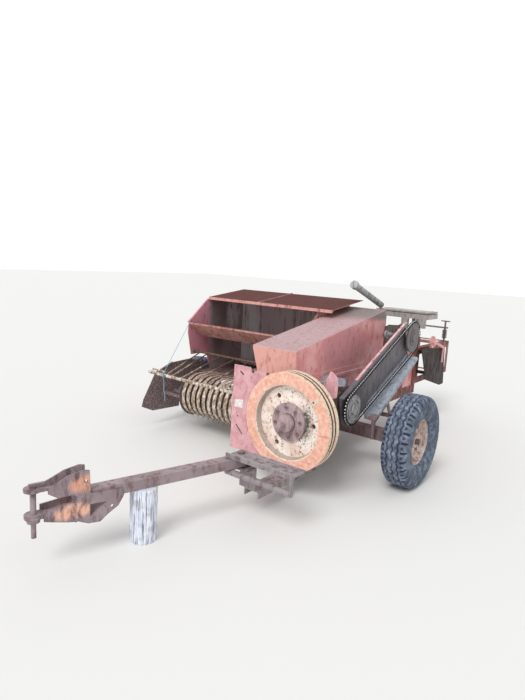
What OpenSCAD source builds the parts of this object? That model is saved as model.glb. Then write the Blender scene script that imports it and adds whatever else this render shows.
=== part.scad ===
// Small square baler with a side pickup, parked on its two wheels with the drawbar
// resting on a log. Drawn in mm: +X forward, +Y to the machine's left, +Z up. The
// working origin is on the ground under the flywheel's axis, 920 behind its face; the
// whole is shifted at the end so that the origin lies under the middle of its box.

/* [Bale chamber] */
// inside width of the bale chamber
chamber_w = 398; // [380:1:430]
// inside height of the bale chamber
chamber_h = 360; // [320:1:380]
// sheet of the chamber walls
chamber_t = 6; // [4:0.5:8]
// rear end of the closed chamber
chamber_rear_x = -1500; // [-1560:10:-1450]
// rear end of the tension rails
rail_rear_x = -2450; // [-2700:10:-2420]

/* [Plunger hood] */
// height of the hood's front edge
hood_front_z = 1000; // [960:5:1040]
// height of the hood's rear edge
hood_rear_z = 1240; // [1200:5:1250]
// sheet of the hoods and guards
sheet_t = 4; // [3:0.5:5]

/* [Feeder] */
// outer end of the feeder housing
feeder_end_y = -1800; // [-1860:5:-1780]
// top of the feeder floor
feeder_floor_z = 476; // [460:1:490]
// height of the feeder hood's back edge
feeder_top_z = 1300; // [1280:5:1330]

/* [Pickup] */
// number of stripper bands
band_n = 15; // [12:1:16]
// spacing of the stripper bands
band_pitch = 65; // [62:1:68]
// width of one stripper band
band_w = 40; // [34:1:44]
// outside radius of the stripper bands
band_r = 200; // [190:1:205]
// reach of the tine tips from the reel's axis
tine_r = 232; // [222:1:236]
// thickness of a tine
tine_d = 7; // [6:0.5:8]

/* [Flywheel] */
// radius of the flywheel
fly_r = 350; // [330:5:360]
// depth of the flywheel's rim
fly_w = 120; // [100:5:130]
// width of the flat ring on the flywheel's face
fly_ring = 84; // [70:2:90]

/* [Wheels] */
// radius of the left tyre
left_tyre_r = 350; // [335:5:370]
// width of the left tyre
left_tyre_w = 200; // [180:5:220]
// radius of the right tyre
right_tyre_r = 290; // [270:5:310]
// width of the right tyre
right_tyre_w = 170; // [150:5:190]
// clearance of a turning bore on its pin
pin_gap = 0.1; // [0.05:0.05:0.3]

/* [Drawbar] */
// width of the drawbar's box section
bar_w = 75; // [65:1:90]
// height of the drawbar's box section
bar_h = 62; // [55:1:66]
// wall of the drawbar's box section
bar_t = 6; // [4:0.5:8]
// underside of the drawbar
bar_z = 323; // [315:1:330]
// reach from the pivot to the hitch pin
hitch_s = 1250; // [1200:5:1300]

/* [Hidden] */
$fn = 40;
// chamber: inside faces, then outside faces
ch_y1 = -66;
ch_y0 = ch_y1 - chamber_w;
co_y1 = ch_y1 + chamber_t;
co_y0 = ch_y0 - chamber_t;
ch_z0 = 440;
ch_z1 = ch_z0 + chamber_h;
co_z0 = ch_z0 - chamber_t;
co_z1 = ch_z1 + chamber_t;
front_x = 744;
panel_x1 = front_x + 6;
frame_z0 = 340;
rail_w = 60;
needle_y = [ch_y0 + 100, ch_y1 - 100];
needle_w = 24;
// axle and wheels
axle_x0 = -100;
axle_x1 = -10;
axle_z0 = 250;
axle_y0 = feeder_end_y - 30;
axle_y1 = 430;
lw_x = 70;
lw_y = 565;
rw_x = -200;
rw_y = axle_y0 - 110;
spindle_r = 22;
rim_l_r = 190;
rim_r_r = 160;
// hood over the plunger: rear end and sides, drawn in from the chamber's own
hood_x0 = -660;
hood_y0 = co_y0 + 17;
hood_y1 = co_y1 - 4;
// feeder housing
fb_x = -720;
lip = [108, 985];
brow = [-170, 1228];
wg_x = 30;
wg_z = 690;
bar_x = 700;
bar_zc = 580;
bar_r = 14;
// pickup
pk_x = 250;
pk_z = 340;
pk_y1 = co_y0 - 100;
pk_y0 = pk_y1 - (band_n - 1) * band_pitch - band_w;
pk_t = 6;
pk_gap = 12;
pk_s0 = pk_y0 - pk_gap - pk_t;
pk_s1 = pk_y1 + pk_gap;
pk_hx = 0;
pk_hz = 420;
pk_pin_r = 10;
reel_r = 150;
// flywheel and its fixed spindle
fly_x1 = 920;
fly_x0 = fly_x1 - fly_w;
fly_z = 534;
shaft_r = 30;
disc_x0 = 856;
disc_x1 = 872;
hub_r = 60;
flange_r = 135;
stub_r = 18;
// chain drive: x, z and pitch radius of each sprocket
ls = [337, 565, 120];
us = [-680, 1020, 140];
ch_y = 200;
cp_y0 = 160;
chain_n = 120;
roller_r = 8;
kn_x = -1000;
kn_z = 960;
kn_r = 25;
// drawbar, its pivot and the guide it swings in
pv_x = 1300;
pv_y = -66;
pv_r = 16;
bar_a = -15.9;
gd_x0 = 1240;
gd_x1 = 1400;
gd_y0 = -110;
gd_y1 = 395;
gd_t = 10;
gd_z = bar_z + bar_h + 6;
tube_x = 1385;
tube_r = 20;
tube_z = bar_z - 7 - tube_r;
car_z0 = 108;
car_z1 = 158;
car_y0 = -66;
car_y1 = 54;
prong_r = 45;
pin_r = 15;
log_x = 1930;
log_y = -250;
log_r = 80;
// twine box
tb_x0 = chamber_rear_x - 60;
tb_x1 = chamber_rear_x + 200;
tb_y0 = -470;
tb_y1 = 90;
tb_z0 = 1130;
tb_z1 = 1180;
lid_gap = 6;
hinge_x = tb_x0 - 9;
hinge_z = tb_z1 + 12;
// box that the origin is taken from
x_max = pv_x + hitch_s * cos(bar_a) + prong_r;
y_max = lw_y + left_tyre_w / 2;
y_min = rw_y - right_tyre_w / 2;
off = [-(x_max + rail_rear_x) / 2, -(y_max + y_min) / 2, 0];

rust = "#6f4636";
red = "#a8554c";
pink = "#b8706a";
grey = "#8a8a8c";
cream = "#cfc3a0";
orange = "#c07850";
dark = "#3b3634";

// puts the working origin under the middle of the box
module placed() {
    translate(off) children();
}
// a block between two corners
module bx(a, b) {
    translate(a) cube([b[0] - a[0], b[1] - a[1], b[2] - a[2]]);
}
// a plate drawn in the X-Z plane between two Y values
module xz(y0, y1) {
    translate([0, y1, 0]) rotate([90, 0, 0]) linear_extrude(y1 - y0) children();
}
// a plate drawn in the Y-Z plane between two X values
module yz(x0, x1) {
    translate([x0, 0, 0]) rotate([90, 0, 90]) linear_extrude(x1 - x0) children();
}
// round bars along Y, X and Z
module ybar(x, z, r, y0, y1) {
    translate([x, y0, z]) rotate([-90, 0, 0]) cylinder(r = r, h = y1 - y0);
}
module xbar(y, z, r, x0, x1) {
    translate([x0, y, z]) rotate([0, 90, 0]) cylinder(r = r, h = x1 - x0);
}
module zbar(x, y, r, z0, z1) {
    translate([x, y, z0]) cylinder(r = r, h = z1 - z0);
}
// a round bar between two points
module rod(a, b, r, n = 16) {
    d = b - a;
    l = norm(d);
    translate(a) rotate([0, acos(d[2] / l), atan2(d[1], d[0])]) cylinder(r = r, h = l, $fn = n);
}
// a hexagon nut or bolt head standing on a face that looks along +X
module xnut(y, z, s, x0, x1) {
    translate([x0, y, z]) rotate([0, 90, 0]) cylinder(d = s, h = x1 - x0, $fn = 6);
}
// points of an arc about a centre, from one angle to another
function arc(cx, cz, r, a0, a1, n) =
    [for (i = [0:n]) let (a = a0 + (a1 - a0) * i / n) [cx + r * cos(a), cz + r * sin(a)]];
// places children in the drawbar's own axes
module on_bar() {
    translate([pv_x, pv_y, 0]) rotate([0, 0, bar_a]) children();
}

module chamber_left_wall() {
    placed() color(red) {
        bx([chamber_rear_x, ch_y1, co_z0], [front_x, co_y1, co_z1]);
        // rolled edge and the long rib pressed along the side
        for (z = [co_z0 + 40, co_z1 - 60])
            bx([-640, co_y1 - 1, z], [180, co_y1 + 12, z + 20]);
    }
}
module chamber_right_wall() {
    placed() color(red) difference() {
        bx([chamber_rear_x, co_y0, co_z0], [front_x, ch_y0, co_z1]);
        bx([-560, co_y0 - 1, feeder_floor_z], [10, ch_y0 + 1, ch_z1 - 20]);
    }
}
// the floor and the roof have the same slots for the needles
module needle_slots(z0, z1) {
    for (y = needle_y) bx([-1150, y - needle_w / 2, z0], [-850, y + needle_w / 2, z1]);
}
module chamber_floor() {
    placed() color(rust) difference() {
        bx([chamber_rear_x, ch_y0, co_z0], [front_x, ch_y1, ch_z0]);
        needle_slots(co_z0 - 1, ch_z0 + 1);
    }
}
module chamber_roof() {
    placed() color(rust) difference() {
        bx([chamber_rear_x, ch_y0, ch_z1], [front_x, ch_y1, co_z1]);
        needle_slots(ch_z1 - 1, co_z1 + 1);
    }
}
module chamber_ribs() {
    // x of the rib, 1 where it also crosses the roof
    ribs = [[-760, 0], [-1120, 0], [chamber_rear_x + 60, 1]];
    placed() color(rust) for (r = ribs) {
        bx([r[0], co_y1, co_z0], [r[0] + 40, co_y1 + 25, co_z1]);
        bx([r[0], co_y0 - 25, co_z0], [r[0] + 40, co_y0, co_z1]);
        if (r[1] == 1) bx([r[0], co_y0 - 25, co_z1], [r[0] + 40, co_y1 + 25, co_z1 + 25]);
    }
}
module tension_rails() {
    // four corner angles between a front frame and a rear frame
    angle_w = 60;
    placed() color(rust) difference() {
        bx([rail_rear_x, co_y0, co_z0], [chamber_rear_x, co_y1, co_z1]);
        bx([rail_rear_x - 1, ch_y0, ch_z0], [chamber_rear_x + 1, ch_y1, ch_z1]);
        bx([rail_rear_x + 60, co_y0 - 1, ch_z0 + angle_w],
            [chamber_rear_x - 60, co_y1 + 1, ch_z1 - angle_w]);
        bx([rail_rear_x + 60, ch_y0 + angle_w, co_z0 - 1],
            [chamber_rear_x - 60, ch_y1 - angle_w, co_z1 + 1]);
    }
}
module tension_screws() {
    sx = rail_rear_x + 80;
    placed() color(rust) {
        for (y = [ch_y0 + 30, ch_y1 - 30]) {
            bx([sx - 30, y - 20, co_z1], [sx + 30, y + 20, co_z1 + 6]);
            zbar(sx, y, 10, co_z1 + 5, co_z1 + 230);
            for (k = [0:5]) zbar(sx, y, 27, co_z1 + 40 + k * 16, co_z1 + 48 + k * 16, $fn = 20);
            zbar(sx, y, 16, co_z1 + 30, co_z1 + 136);
            bx([sx - 8, y - 50, co_z1 + 228], [sx + 8, y + 50, co_z1 + 240]);
        }
        bx([sx - 20, ch_y0, co_z1 + 150], [sx + 20, ch_y1, co_z1 + 165]);
    }
}
module main_frame() {
    placed() color(red) {
        bx([chamber_rear_x, co_y0, frame_z0], [front_x, co_y0 + rail_w, co_z0]);
        bx([chamber_rear_x, co_y1 - rail_w, frame_z0], [front_x, co_y1, co_z0]);
        for (x = [600, -800, chamber_rear_x + 10])
            bx([x, co_y0 + rail_w - 1, frame_z0], [x + 50, co_y1 - rail_w + 1, co_z0 - 20]);
    }
}
module front_panel() {
    left_y = 210;
    // centre, turn and half length of each slot: y, z, degrees, mm
    slots = [[-547, 767, -35, 21], [-553, 319, -45, 47]];
    placed() color(pink) difference() {
        union() {
            // sheet with its lower left corner cut off and an ear at its upper left
            yz(front_x, panel_x1) polygon([[-640, car_z1], [50, car_z1], [left_y, 340], [left_y, 745],
                [257, 728], [283, 738], [287, 808], [279, 874], [246, 903], [226, 910], [193, 838],
                [172, co_z1],
                [co_y0 + 15, co_z1], [co_y0 + 5, co_z1 + 19], [-625, co_z1 + 19]]);
            // folded left edge
            bx([front_x - 34, left_y - 5, 340], [front_x + 1, left_y, 745]);
        }
        xbar(0, fly_z, 56, front_x - 1, panel_x1 + 1);
        for (s = slots) translate([front_x - 1, s[0], s[1]]) rotate([s[2], 0, 0])
            bx([0, -s[3], -8], [9, s[3], 8]);
        xbar(-572, 424, 8, front_x - 1, panel_x1 + 1);
    }
}
// solid of the plunger hood, drawn t inside its skin
module hood_solid(t) {
    b = t > 0 ? 1 : 0;
    intersection() {
        xz(hood_y0 + t, hood_y1 - t) polygon([[hood_x0 + t, co_z1 - b], [panel_x1 - t, co_z1 - b],
            [panel_x1 - t, hood_front_z - t], [hood_x0 + t, hood_rear_z - t]]);
        yz(hood_x0 - 1, panel_x1 + 1) polygon([[hood_y0 + 55 + t, co_z1 - b],
            [hood_y1 - t, co_z1 - b], [hood_y1 - t, hood_rear_z], [hood_y0 + t, hood_rear_z],
            [hood_y0 + t, hood_front_z - 20]]);
    }
}
module plunger_hood() {
    placed() color(red) difference() {
        hood_solid(0);
        hood_solid(sheet_t);
    }
}
module gearbox() {
    placed() color(dark) difference() {
        union() {
            bx([230, co_y1, 430], [520, 140, 690]);
            bx([220, co_y1, 600], [530, 140, 620]);
            for (x = [260, 480]) bx([x, co_y1, 690], [x + 12, 120, 715]);
            xbar(0, fly_z, 55, 519, front_x + 16);
            xbar(0, fly_z, 58, 519, 540);
            ybar(ls[0], ls[1], 50, 139, cp_y0);
            ybar(ls[0], ls[1], 80, 139, 148);
        }
        xbar(0, fly_z, shaft_r, 560, 800);
    }
}
module flywheel_spindle() {
    placed() color(dark) xbar(0, fly_z, shaft_r, 560, 900);
}
module axle_beam() {
    placed() color(rust) {
        difference() {
            bx([axle_x0, axle_y0, axle_z0], [axle_x1, axle_y1, frame_z0]);
            bx([axle_x0 + 8, axle_y0 - 1, axle_z0 + 8], [axle_x1 - 8, axle_y1 + 1, frame_z0 - 8]);
        }
        // a cranked end plate and its spindle at each wheel
        xz(axle_y1, axle_y1 + 12) polygon(concat([[axle_x0, axle_z0], [lw_x, axle_z0 + 20]],
            arc(lw_x, left_tyre_r, 60, -60, 90, 6), [[axle_x0, frame_z0 + 60]]));
        ybar(lw_x, left_tyre_r, 45, axle_y1 + 11, axle_y1 + 40);
        ybar(lw_x, left_tyre_r, spindle_r, axle_y1 + 39, lw_y + 66);
        xz(axle_y0 - 12, axle_y0) polygon(concat([[axle_x1, axle_z0], [axle_x1, frame_z0]],
            arc(rw_x, right_tyre_r, 50, 100, 260, 6)));
        ybar(rw_x, right_tyre_r, spindle_r, rw_y - 56, axle_y0 - 11);
    }
}
module feeder_floor() {
    placed() color(rust)
        bx([fb_x + sheet_t, feeder_end_y, feeder_floor_z - 6], [10, co_y0, feeder_floor_z]);
}
// underside of the feeder's top sheet at a place along the machine
function hood_under(x) = feeder_top_z + (brow[1] - feeder_top_z) * (x - fb_x) / (brow[0] - 3 - fb_x);
module feeder_back_wall() {
    placed() color(grey) xz(feeder_end_y, co_y0) polygon([[fb_x, feeder_floor_z - 6],
        [fb_x + sheet_t, feeder_floor_z - 6], [fb_x + sheet_t, hood_under(fb_x + sheet_t)],
        [fb_x, hood_under(fb_x)]]);
}
module feeder_top_hood() {
    // sheet from the back edge down to the brow, with a turned lip and a seam
    t = sheet_t;
    placed() color(red) {
        xz(feeder_end_y, -330) polygon([[fb_x, feeder_top_z], [fb_x, feeder_top_z + t],
            [brow[0], brow[1] + t], [brow[0] + 8, brow[1] - 22], [brow[0] + 4, brow[1] - 23],
            [brow[0] - 3, brow[1]]]);
        xz(-1150, -1142) polygon([[fb_x, feeder_top_z + t - 1], [fb_x, feeder_top_z + t + 8],
            [brow[0], brow[1] + t + 8], [brow[0], brow[1] + t - 1]]);
    }
}
module feeder_tray() {
    // open tray: floor, sloping front sheet and a turned lip
    t = sheet_t;
    bend = [-70, 838];
    placed() color(red) xz(feeder_end_y, co_y0 - t) polygon([[fb_x + t, bend[1]], bend,
        [lip[0], lip[1] - 14], [lip[0] - 2, lip[1]], [lip[0] - 14, lip[1] + 4],
        [lip[0] - 15, lip[1]], [lip[0] - 6, lip[1] - 3], [lip[0] - 5, lip[1] - 12],
        [bend[0] - 1, bend[1] + t], [fb_x + t, bend[1] + t]]);
}
module feeder_right_end() {
    // sheet cut away over the pickup, with a rolled edge along the open window
    t = sheet_t;
    z0 = feeder_floor_z - 6;
    placed() color(red) {
        xz(feeder_end_y - t, feeder_end_y) polygon([[fb_x, z0], [fb_x, feeder_top_z + t],
            [brow[0], brow[1] + t], [brow[0] + 8, brow[1] - 22], lip, [lip[0] + 10, 886],
            [67, 656], [-150, 656], [-220, z0]]);
        rod([brow[0] + 8, feeder_end_y - 9.5, brow[1] - 20], [lip[0], feeder_end_y - 9.5, lip[1]], 9);
    }
}
module feeder_left_end() {
    x0 = fb_x + sheet_t;
    placed() color(red) xz(co_y0 - sheet_t, co_y0) polygon([[x0, co_z1 - 20], [x0, hood_under(x0)],
        [brow[0] - 3, brow[1]], [brow[0] + 4, brow[1] - 23], lip, [lip[0], co_z1 - 20]]);
}
module pickup_brackets() {
    // first face of each bracket and of its pin
    sides = [[pk_s0 - 11, pk_s0 - 2], [pk_s1 + pk_t + 1, pk_s1 - 2]];
    placed() color(rust) for (b = sides) {
        xz(b[0], b[0] + 10) polygon(concat([[-60, frame_z0], [axle_x1, frame_z0]],
            arc(pk_hx, pk_hz, 24, -60, 130, 6), [[-60, pk_hz]]));
        ybar(pk_hx, pk_hz, pk_pin_r, b[1], b[1] + 10);
    }
}
module windguard() {
    // rods of the windguard: y at the rear tube, y at the front bar
    rods = [[-1700, -1470], [-1600, -1400], [-1420, -1290], [-1240, -1140], [-1060, -990],
        [-880, -840], [-700, -690]];
    placed() color(cream) {
        ybar(bar_x, bar_zc, bar_r, -1680, -600);
        ybar(bar_x - 24, bar_zc + 26, 8, -1665, -1490);
        for (y = [-1655, -1500]) rod([bar_x, y, bar_zc], [bar_x - 24, y, bar_zc + 26], 6);
        for (r = rods) rod([bar_x, r[1], bar_zc], [wg_x, r[0], wg_z], 6);
        ybar(wg_x, wg_z, 12, feeder_end_y, co_y0);
    }
}
// a tube of radius r swept along a list of points, with n sides
module sweep(p, r, n) {
    m = len(p);
    function dir(i) = let (d = p[min(i + 1, m - 1)] - p[max(i - 1, 0)]) d / norm(d);
    function side(i) = let (s = cross(dir(i), [0.35, 0.9, 0.25])) s / norm(s);
    pts = [for (i = [0:m - 1]) let (u = side(i), v = cross(dir(i), u))
        for (k = [0:n - 1]) p[i] + r * (cos(k * 360 / n) * u + sin(k * 360 / n) * v)];
    faces = concat([[for (k = [0:n - 1]) k]],
        [for (i = [0:m - 2]) for (k = [0:n - 1]) [i * n + k, (i + 1) * n + k,
            (i + 1) * n + (k + 1) % n, i * n + (k + 1) % n]],
        [[for (k = [n - 1:-1:0]) (m - 1) * n + k]]);
    polyhedron(pts, faces);
}
// taut twine that ties the windguard up to the feeder's lip
twine_r = 2.5;
knot = [bar_x, -1488, bar_zc + bar_r + 9];
module windguard_twine() {
    // from a knot on the lip's corner to a loop round the front bar
    top = [lip[0] + 5.7, feeder_end_y + 12, lip[1] - 8];
    y = knot[1];
    placed() color("#4f9fc0") {
        ybar(top[0], top[2], 6, top[1] - 6, top[1] + 6);
        rod(top, knot, twine_r);
        ybar(knot[0], knot[2], 8, y - 6, y + 6);
        difference() {
            ybar(bar_x, bar_zc, bar_r + 5, y - 3, y + 3);
            ybar(bar_x, bar_zc, bar_r + 0.3, y - 4, y + 4);
        }
    }
}
// the loose end of the twine, from the knot down: points set by hand, then rounded
tail_pts = [[703, -1486, 604], [714, -1483, 605], [724, -1479, 597], [728, -1473, 582],
    [726, -1468, 565], [722, -1464, 545], [720, -1462, 520], [722, -1460, 495],
    [725, -1458, 470], [724, -1455, 445], [720, -1453, 420], [717, -1452, 395],
    [716, -1450, 370], [718, -1448, 350]];
// smooth curve through a list of points, two steps to each stretch
function smooth(p) = let (m = len(p)) concat([for (i = [0:m - 2]) for (u = [0, 0.5])
    let (a = p[max(i - 1, 0)], b = p[i], c = p[i + 1], d = p[min(i + 2, m - 1)])
        b + u / 2 * (c - a) + u * u * (a - 2.5 * b + 2 * c - d / 2)
        + u * u * u * (1.5 * b - a / 2 - 1.5 * c + d / 2)], [p[m - 1]]);
module twine_tail() {
    placed() color("#4f9fc0") sweep(smooth(tail_pts), twine_r, 8);
}
module sprocket(q, teeth) {
    // plate wheel whose tooth tips end under the chain's rollers
    tip = q[2] - roller_r;
    difference() {
        ybar(q[0], q[1], tip, ch_y - 6, ch_y + 6);
        for (k = [0:teeth - 1]) ybar(q[0] + (tip + 2) * cos(k * 360 / teeth),
            q[1] + (tip + 2) * sin(k * 360 / teeth), roller_r, ch_y - 7, ch_y + 7, $fn = 8);
    }
}
module lower_sprocket() {
    placed() color(grey) {
        sprocket(ls, 30);
        ybar(ls[0], ls[1], 40, cp_y0, ch_y + 20);
        xz(ch_y + 5, ch_y + 14) difference() {
            translate([ls[0], ls[1]]) circle(r = 85);
            translate([ls[0], ls[1]]) circle(r = 70);
        }
    }
}
module upper_sprocket() {
    placed() color(grey) {
        sprocket(us, 35);
        ybar(us[0], us[1], 40, ch_y - 30, ch_y + 20);
        ybar(us[0], us[1], 70, ch_y + 5, ch_y + 12);
        ybar(us[0], us[1], 20, co_y1, ch_y - 30);
        ybar(us[0], us[1], 35, co_y1, co_y1 + 20);
    }
}
// chain loop: centre distance, slope of the centre line, slope of the tangents
c_d = norm([us[0] - ls[0], us[1] - ls[1]]);
c_a = atan2(us[1] - ls[1], us[0] - ls[0]);
c_b = asin((us[2] - ls[2]) / c_d);
arc_l = (ls[2] * (180 - 2 * c_b)) * PI / 180;
arc_u = (us[2] * (180 + 2 * c_b)) * PI / 180;
run = c_d * cos(c_b);
// point and heading of the chain a distance s along its loop
function chain_at(s) =
    s < arc_l ? let (a = c_a + 90 + c_b + s / ls[2] * 180 / PI)
        [ls[0] + ls[2] * cos(a), ls[1] + ls[2] * sin(a), a + 90] :
    s < arc_l + run ? let (a = c_a - 90 - c_b, d = s - arc_l)
        [ls[0] + ls[2] * cos(a) + d * cos(a + 90), ls[1] + ls[2] * sin(a) + d * sin(a + 90), a + 90] :
    s < arc_l + run + arc_u ? let (a = c_a - 90 - c_b + (s - arc_l - run) / us[2] * 180 / PI)
        [us[0] + us[2] * cos(a), us[1] + us[2] * sin(a), a + 90] :
    let (a = c_a + 90 + c_b, d = s - arc_l - run - arc_u)
        [us[0] + us[2] * cos(a) + d * cos(a + 90), us[1] + us[2] * sin(a) + d * sin(a + 90), a + 90];
// the same point moved h away from the inside of the loop
function chain_off(q, h) = [q[0] + h * cos(q[2] - 90), q[1] + h * sin(q[2] - 90)];
module drive_chain() {
    step = (arc_l + arc_u + 2 * run) / chain_n;
    // both ends of every outer link, in order round the loop
    link = [for (k = [0:2:chain_n - 1]) for (e = [0.08, 0.92]) chain_at((k + e) * step)];
    h = roller_r - 0.5;
    out = [for (q = link) chain_off(q, h)];
    in = [for (q = link) chain_off(q, -h)];
    placed() color(grey) {
        // inner links run as one band, the outer links stand proud of it one by one
        xz(ch_y - 6, ch_y + 6) difference() {
            polygon(out);
            polygon(in);
        }
        for (i = [0:2:len(link) - 2]) xz(ch_y - 11, ch_y + 11)
            polygon([out[i], out[i + 1], in[i + 1], in[i]]);
    }
}
// a point s along the centre line and h above it
function guard_pt(s, h) = [ls[0] + s * cos(c_a) + h * sin(c_a), ls[1] + s * sin(c_a) - h * cos(c_a)];
module chain_guard() {
    // back plate behind the chain with a turned-out top edge, on a bent bracket
    placed() color(pink) {
        difference() {
            xz(cp_y0, cp_y0 + 3) polygon([guard_pt(-100, 150), guard_pt(1060, 172),
                guard_pt(1060, -150), guard_pt(-60, -150), guard_pt(-130, -60)]);
            ybar(ls[0], ls[1], 41, cp_y0 - 1, cp_y0 + 4);
            ybar(us[0], us[1], 21, cp_y0 - 1, cp_y0 + 4);
        }
        xz(cp_y0, cp_y0 + 40) polygon([guard_pt(-100, 150), guard_pt(1060, 172),
            guard_pt(1060, 178), guard_pt(-100, 156)]);
        bx([372, co_y1, 735], [432, cp_y0 + 1, 741]);
        bx([372, co_y1, 740], [378, cp_y0 + 1, 790]);
    }
}
module chain_trough() {
    // sheet under the lower run with its back edge turned up against the guard; it
    // drops away from the chain towards its lower end
    ends = [[198, -240], [1070, -166]];
    y1 = 255;
    t = 4;
    place = [for (e = ends) guard_pt(e[0], e[1])];
    low = [for (e = ends) guard_pt(e[0], e[1] - t)];
    post = 42;
    // underside of the sheet at a place along the machine
    function under(x) = low[0][1] + (x - low[0][0]) * (low[1][1] - low[0][1]) / (low[1][0] - low[0][0]);
    placed() color(grey) {
        xz(cp_y0 + 3, y1) polygon([place[0], place[1], low[1], low[0]]);
        xz(cp_y0 + 3, cp_y0 + 6) polygon([place[0], guard_pt(198, -170), guard_pt(290, -130),
            guard_pt(1060, -130), place[1]]);
        xz(y1 - t, y1) polygon([place[0], place[1], guard_pt(1070, -188), guard_pt(198, -262)]);
        // round post under the lower corner, held to the axle beam's front face by its foot
        intersection() {
            zbar(post, y1 - 20, 17, axle_z0 + 20, 700);
            xz(y1 - 40, y1) polygon([[post - 20, axle_z0 + 10], [post + 20, axle_z0 + 10],
                [post + 20, under(post + 20) + 1], [post - 20, under(post - 20) + 1]]);
        }
        bx([axle_x1, y1 - 40, axle_z0 + 40], [post, y1 - 30, frame_z0 - 10]);
    }
}
module knotter_frame() {
    // side plates that carry the knotter shaft
    placed() color(dark) for (y = [ch_y0 - 2, co_y1 - 8]) difference() {
        xz(y, y + 8) polygon([[-1250, co_z1], [hood_x0 - 4, co_z1], [hood_x0 - 4, 1090],
            [-760, 1100], [kn_x - 40, 1080], [-1130, 1010], [-1250, 900]]);
        ybar(kn_x, kn_z, kn_r, y - 1, y + 9);
    }
}
module knotters() {
    // shaft with two cam discs, each with its toothed stretch and twine holder
    placed() color(dark) {
        ybar(kn_x, kn_z, kn_r, ch_y0 - 20, co_y1 + 20);
        for (y = needle_y) {
            difference() {
                ybar(kn_x, kn_z, 115, y - 12, y + 12);
                for (k = [0:6]) ybar(kn_x + 115 * cos(200 + k * 12), kn_z + 115 * sin(200 + k * 12),
                    7, y - 13, y + 13, $fn = 12);
                for (k = [0:3]) ybar(kn_x + 72 * cos(k * 90 + 30), kn_z + 72 * sin(k * 90 + 30),
                    22, y - 13, y + 13);
            }
            ybar(kn_x, kn_z, 45, y - 30, y + 30);
        }
        ybar(kn_x, kn_z, 135, co_y1, co_y1 + 10);
    }
}
module needle_drive() {
    // cross shaft over the rails with a crank disc and its flat rod at the left end
    nd_x = chamber_rear_x - 30;
    nd_z = co_z1 + 84;
    placed() color(red) {
        for (y = [co_y0, co_y1 - 40]) xz(y, y + 40) polygon([[nd_x - 28, co_z1], [nd_x + 28, co_z1],
            [nd_x + 18, nd_z + 24], [nd_x - 18, nd_z + 24]]);
        ybar(nd_x, nd_z, 16, co_y0 + 1, 70);
        ybar(nd_x, nd_z, 62, 69, 86);
        ybar(nd_x, nd_z, 34, 85, 104);
        xz(72, 84) polygon([[nd_x - 40, nd_z + 14], [nd_x - 330, nd_z - 70], [nd_x - 350, nd_z - 92],
            [nd_x - 350, nd_z - 250], [nd_x - 326, nd_z - 250], [nd_x - 326, nd_z - 100],
            [nd_x - 40, nd_z - 14]]);
    }
}
module twine_box() {
    placed() color(grey) {
        difference() {
            bx([tb_x0, tb_y0, tb_z0], [tb_x1, tb_y1, tb_z1]);
            bx([tb_x0 + 4, tb_y0 + 4, tb_z0 + 4], [tb_x1 - 4, tb_y1 - 4, tb_z1 + 1]);
        }
        for (x = [chamber_rear_x + 120, chamber_rear_x + 10]) for (y = [co_y0 + 5, co_y1 - 35])
            bx([x, y, co_z1], [x + 25, y + 30, tb_z0 + 1]);
        // hinge leaves and pins for the lid
        for (y = [tb_y0 + 50, tb_y1 - 70]) {
            bx([hinge_x - 9, y, tb_z0 + 20], [tb_x0, y + 10, hinge_z]);
            ybar(hinge_x, hinge_z, 9, y, y + 10);
            ybar(hinge_x, hinge_z, 4, y, y + 42);
        }
        // front post and the weight hung beside it
        bx([tb_x1 - 34, -186, co_z1], [tb_x1, -116, tb_z0 + 1]);
        bx([tb_x1 - 40, -15, 1040], [tb_x1, 60, tb_z0 + 1]);
    }
}
module twine_box_lid() {
    placed() color(grey) {
        bx([tb_x0 + 6, tb_y0, tb_z1 + lid_gap], [tb_x1, tb_y1, tb_z1 + lid_gap + 14]);
        for (y = [tb_y0 + 61, tb_y1 - 59]) difference() {
            union() {
                ybar(hinge_x, hinge_z, 8, y, y + 30);
                bx([hinge_x, y, hinge_z - 2], [tb_x0 + 7, y + 30, hinge_z + 6]);
            }
            ybar(hinge_x, hinge_z, 4 + pin_gap, y - 1, y + 31);
        }
    }
}
module needle_yoke() {
    // cross bar slung from two arms, with the two curved needles
    py = [co_y0 - 40, co_y1 + 30];
    pivot = [-770, frame_z0 + 47];
    placed() color(rust) {
        bx([-900, py[0], 200], [-860, py[1] + 10, 230]);
        for (y = py) xz(y, y + 10) polygon(concat([[-900, 200], [-860, 200]],
            arc(pivot[0], pivot[1], 24, -35, 145, 6)));
        ybar(pivot[0], pivot[1], 16, py[0], co_y0);
        ybar(pivot[0], pivot[1], 16, co_y1, py[1] + 10);
        for (y = needle_y) xz(y - 6, y + 6) polygon(concat(arc(pivot[0], pivot[1], 220, 232, 195, 6),
            arc(pivot[0], pivot[1], 192, 197, 240, 6)));
    }
}
module rear_shield() {
    placed() color(red) {
        xz(60, 64) polygon([[-1280, 836], [-1955, 790], [-2020, 380], [-1900, 380], [-1470, 500]]);
        for (z = [co_z0 + 111, co_z1 - 46])
            bx([chamber_rear_x - 45, co_y1, z], [chamber_rear_x - 15, 60, z + 30]);
    }
}
module lever_tube() {
    placed() color(rust) {
        rod([-1045, -300, 1254], [-480, -300, 1446], 30, 24);
        rod([-490, -300, 1443], [-455, -300, 1455], 38, 24);
        bx([-1056, -306, co_z1], [-1032, -294, 1262]);
    }
}
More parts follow.
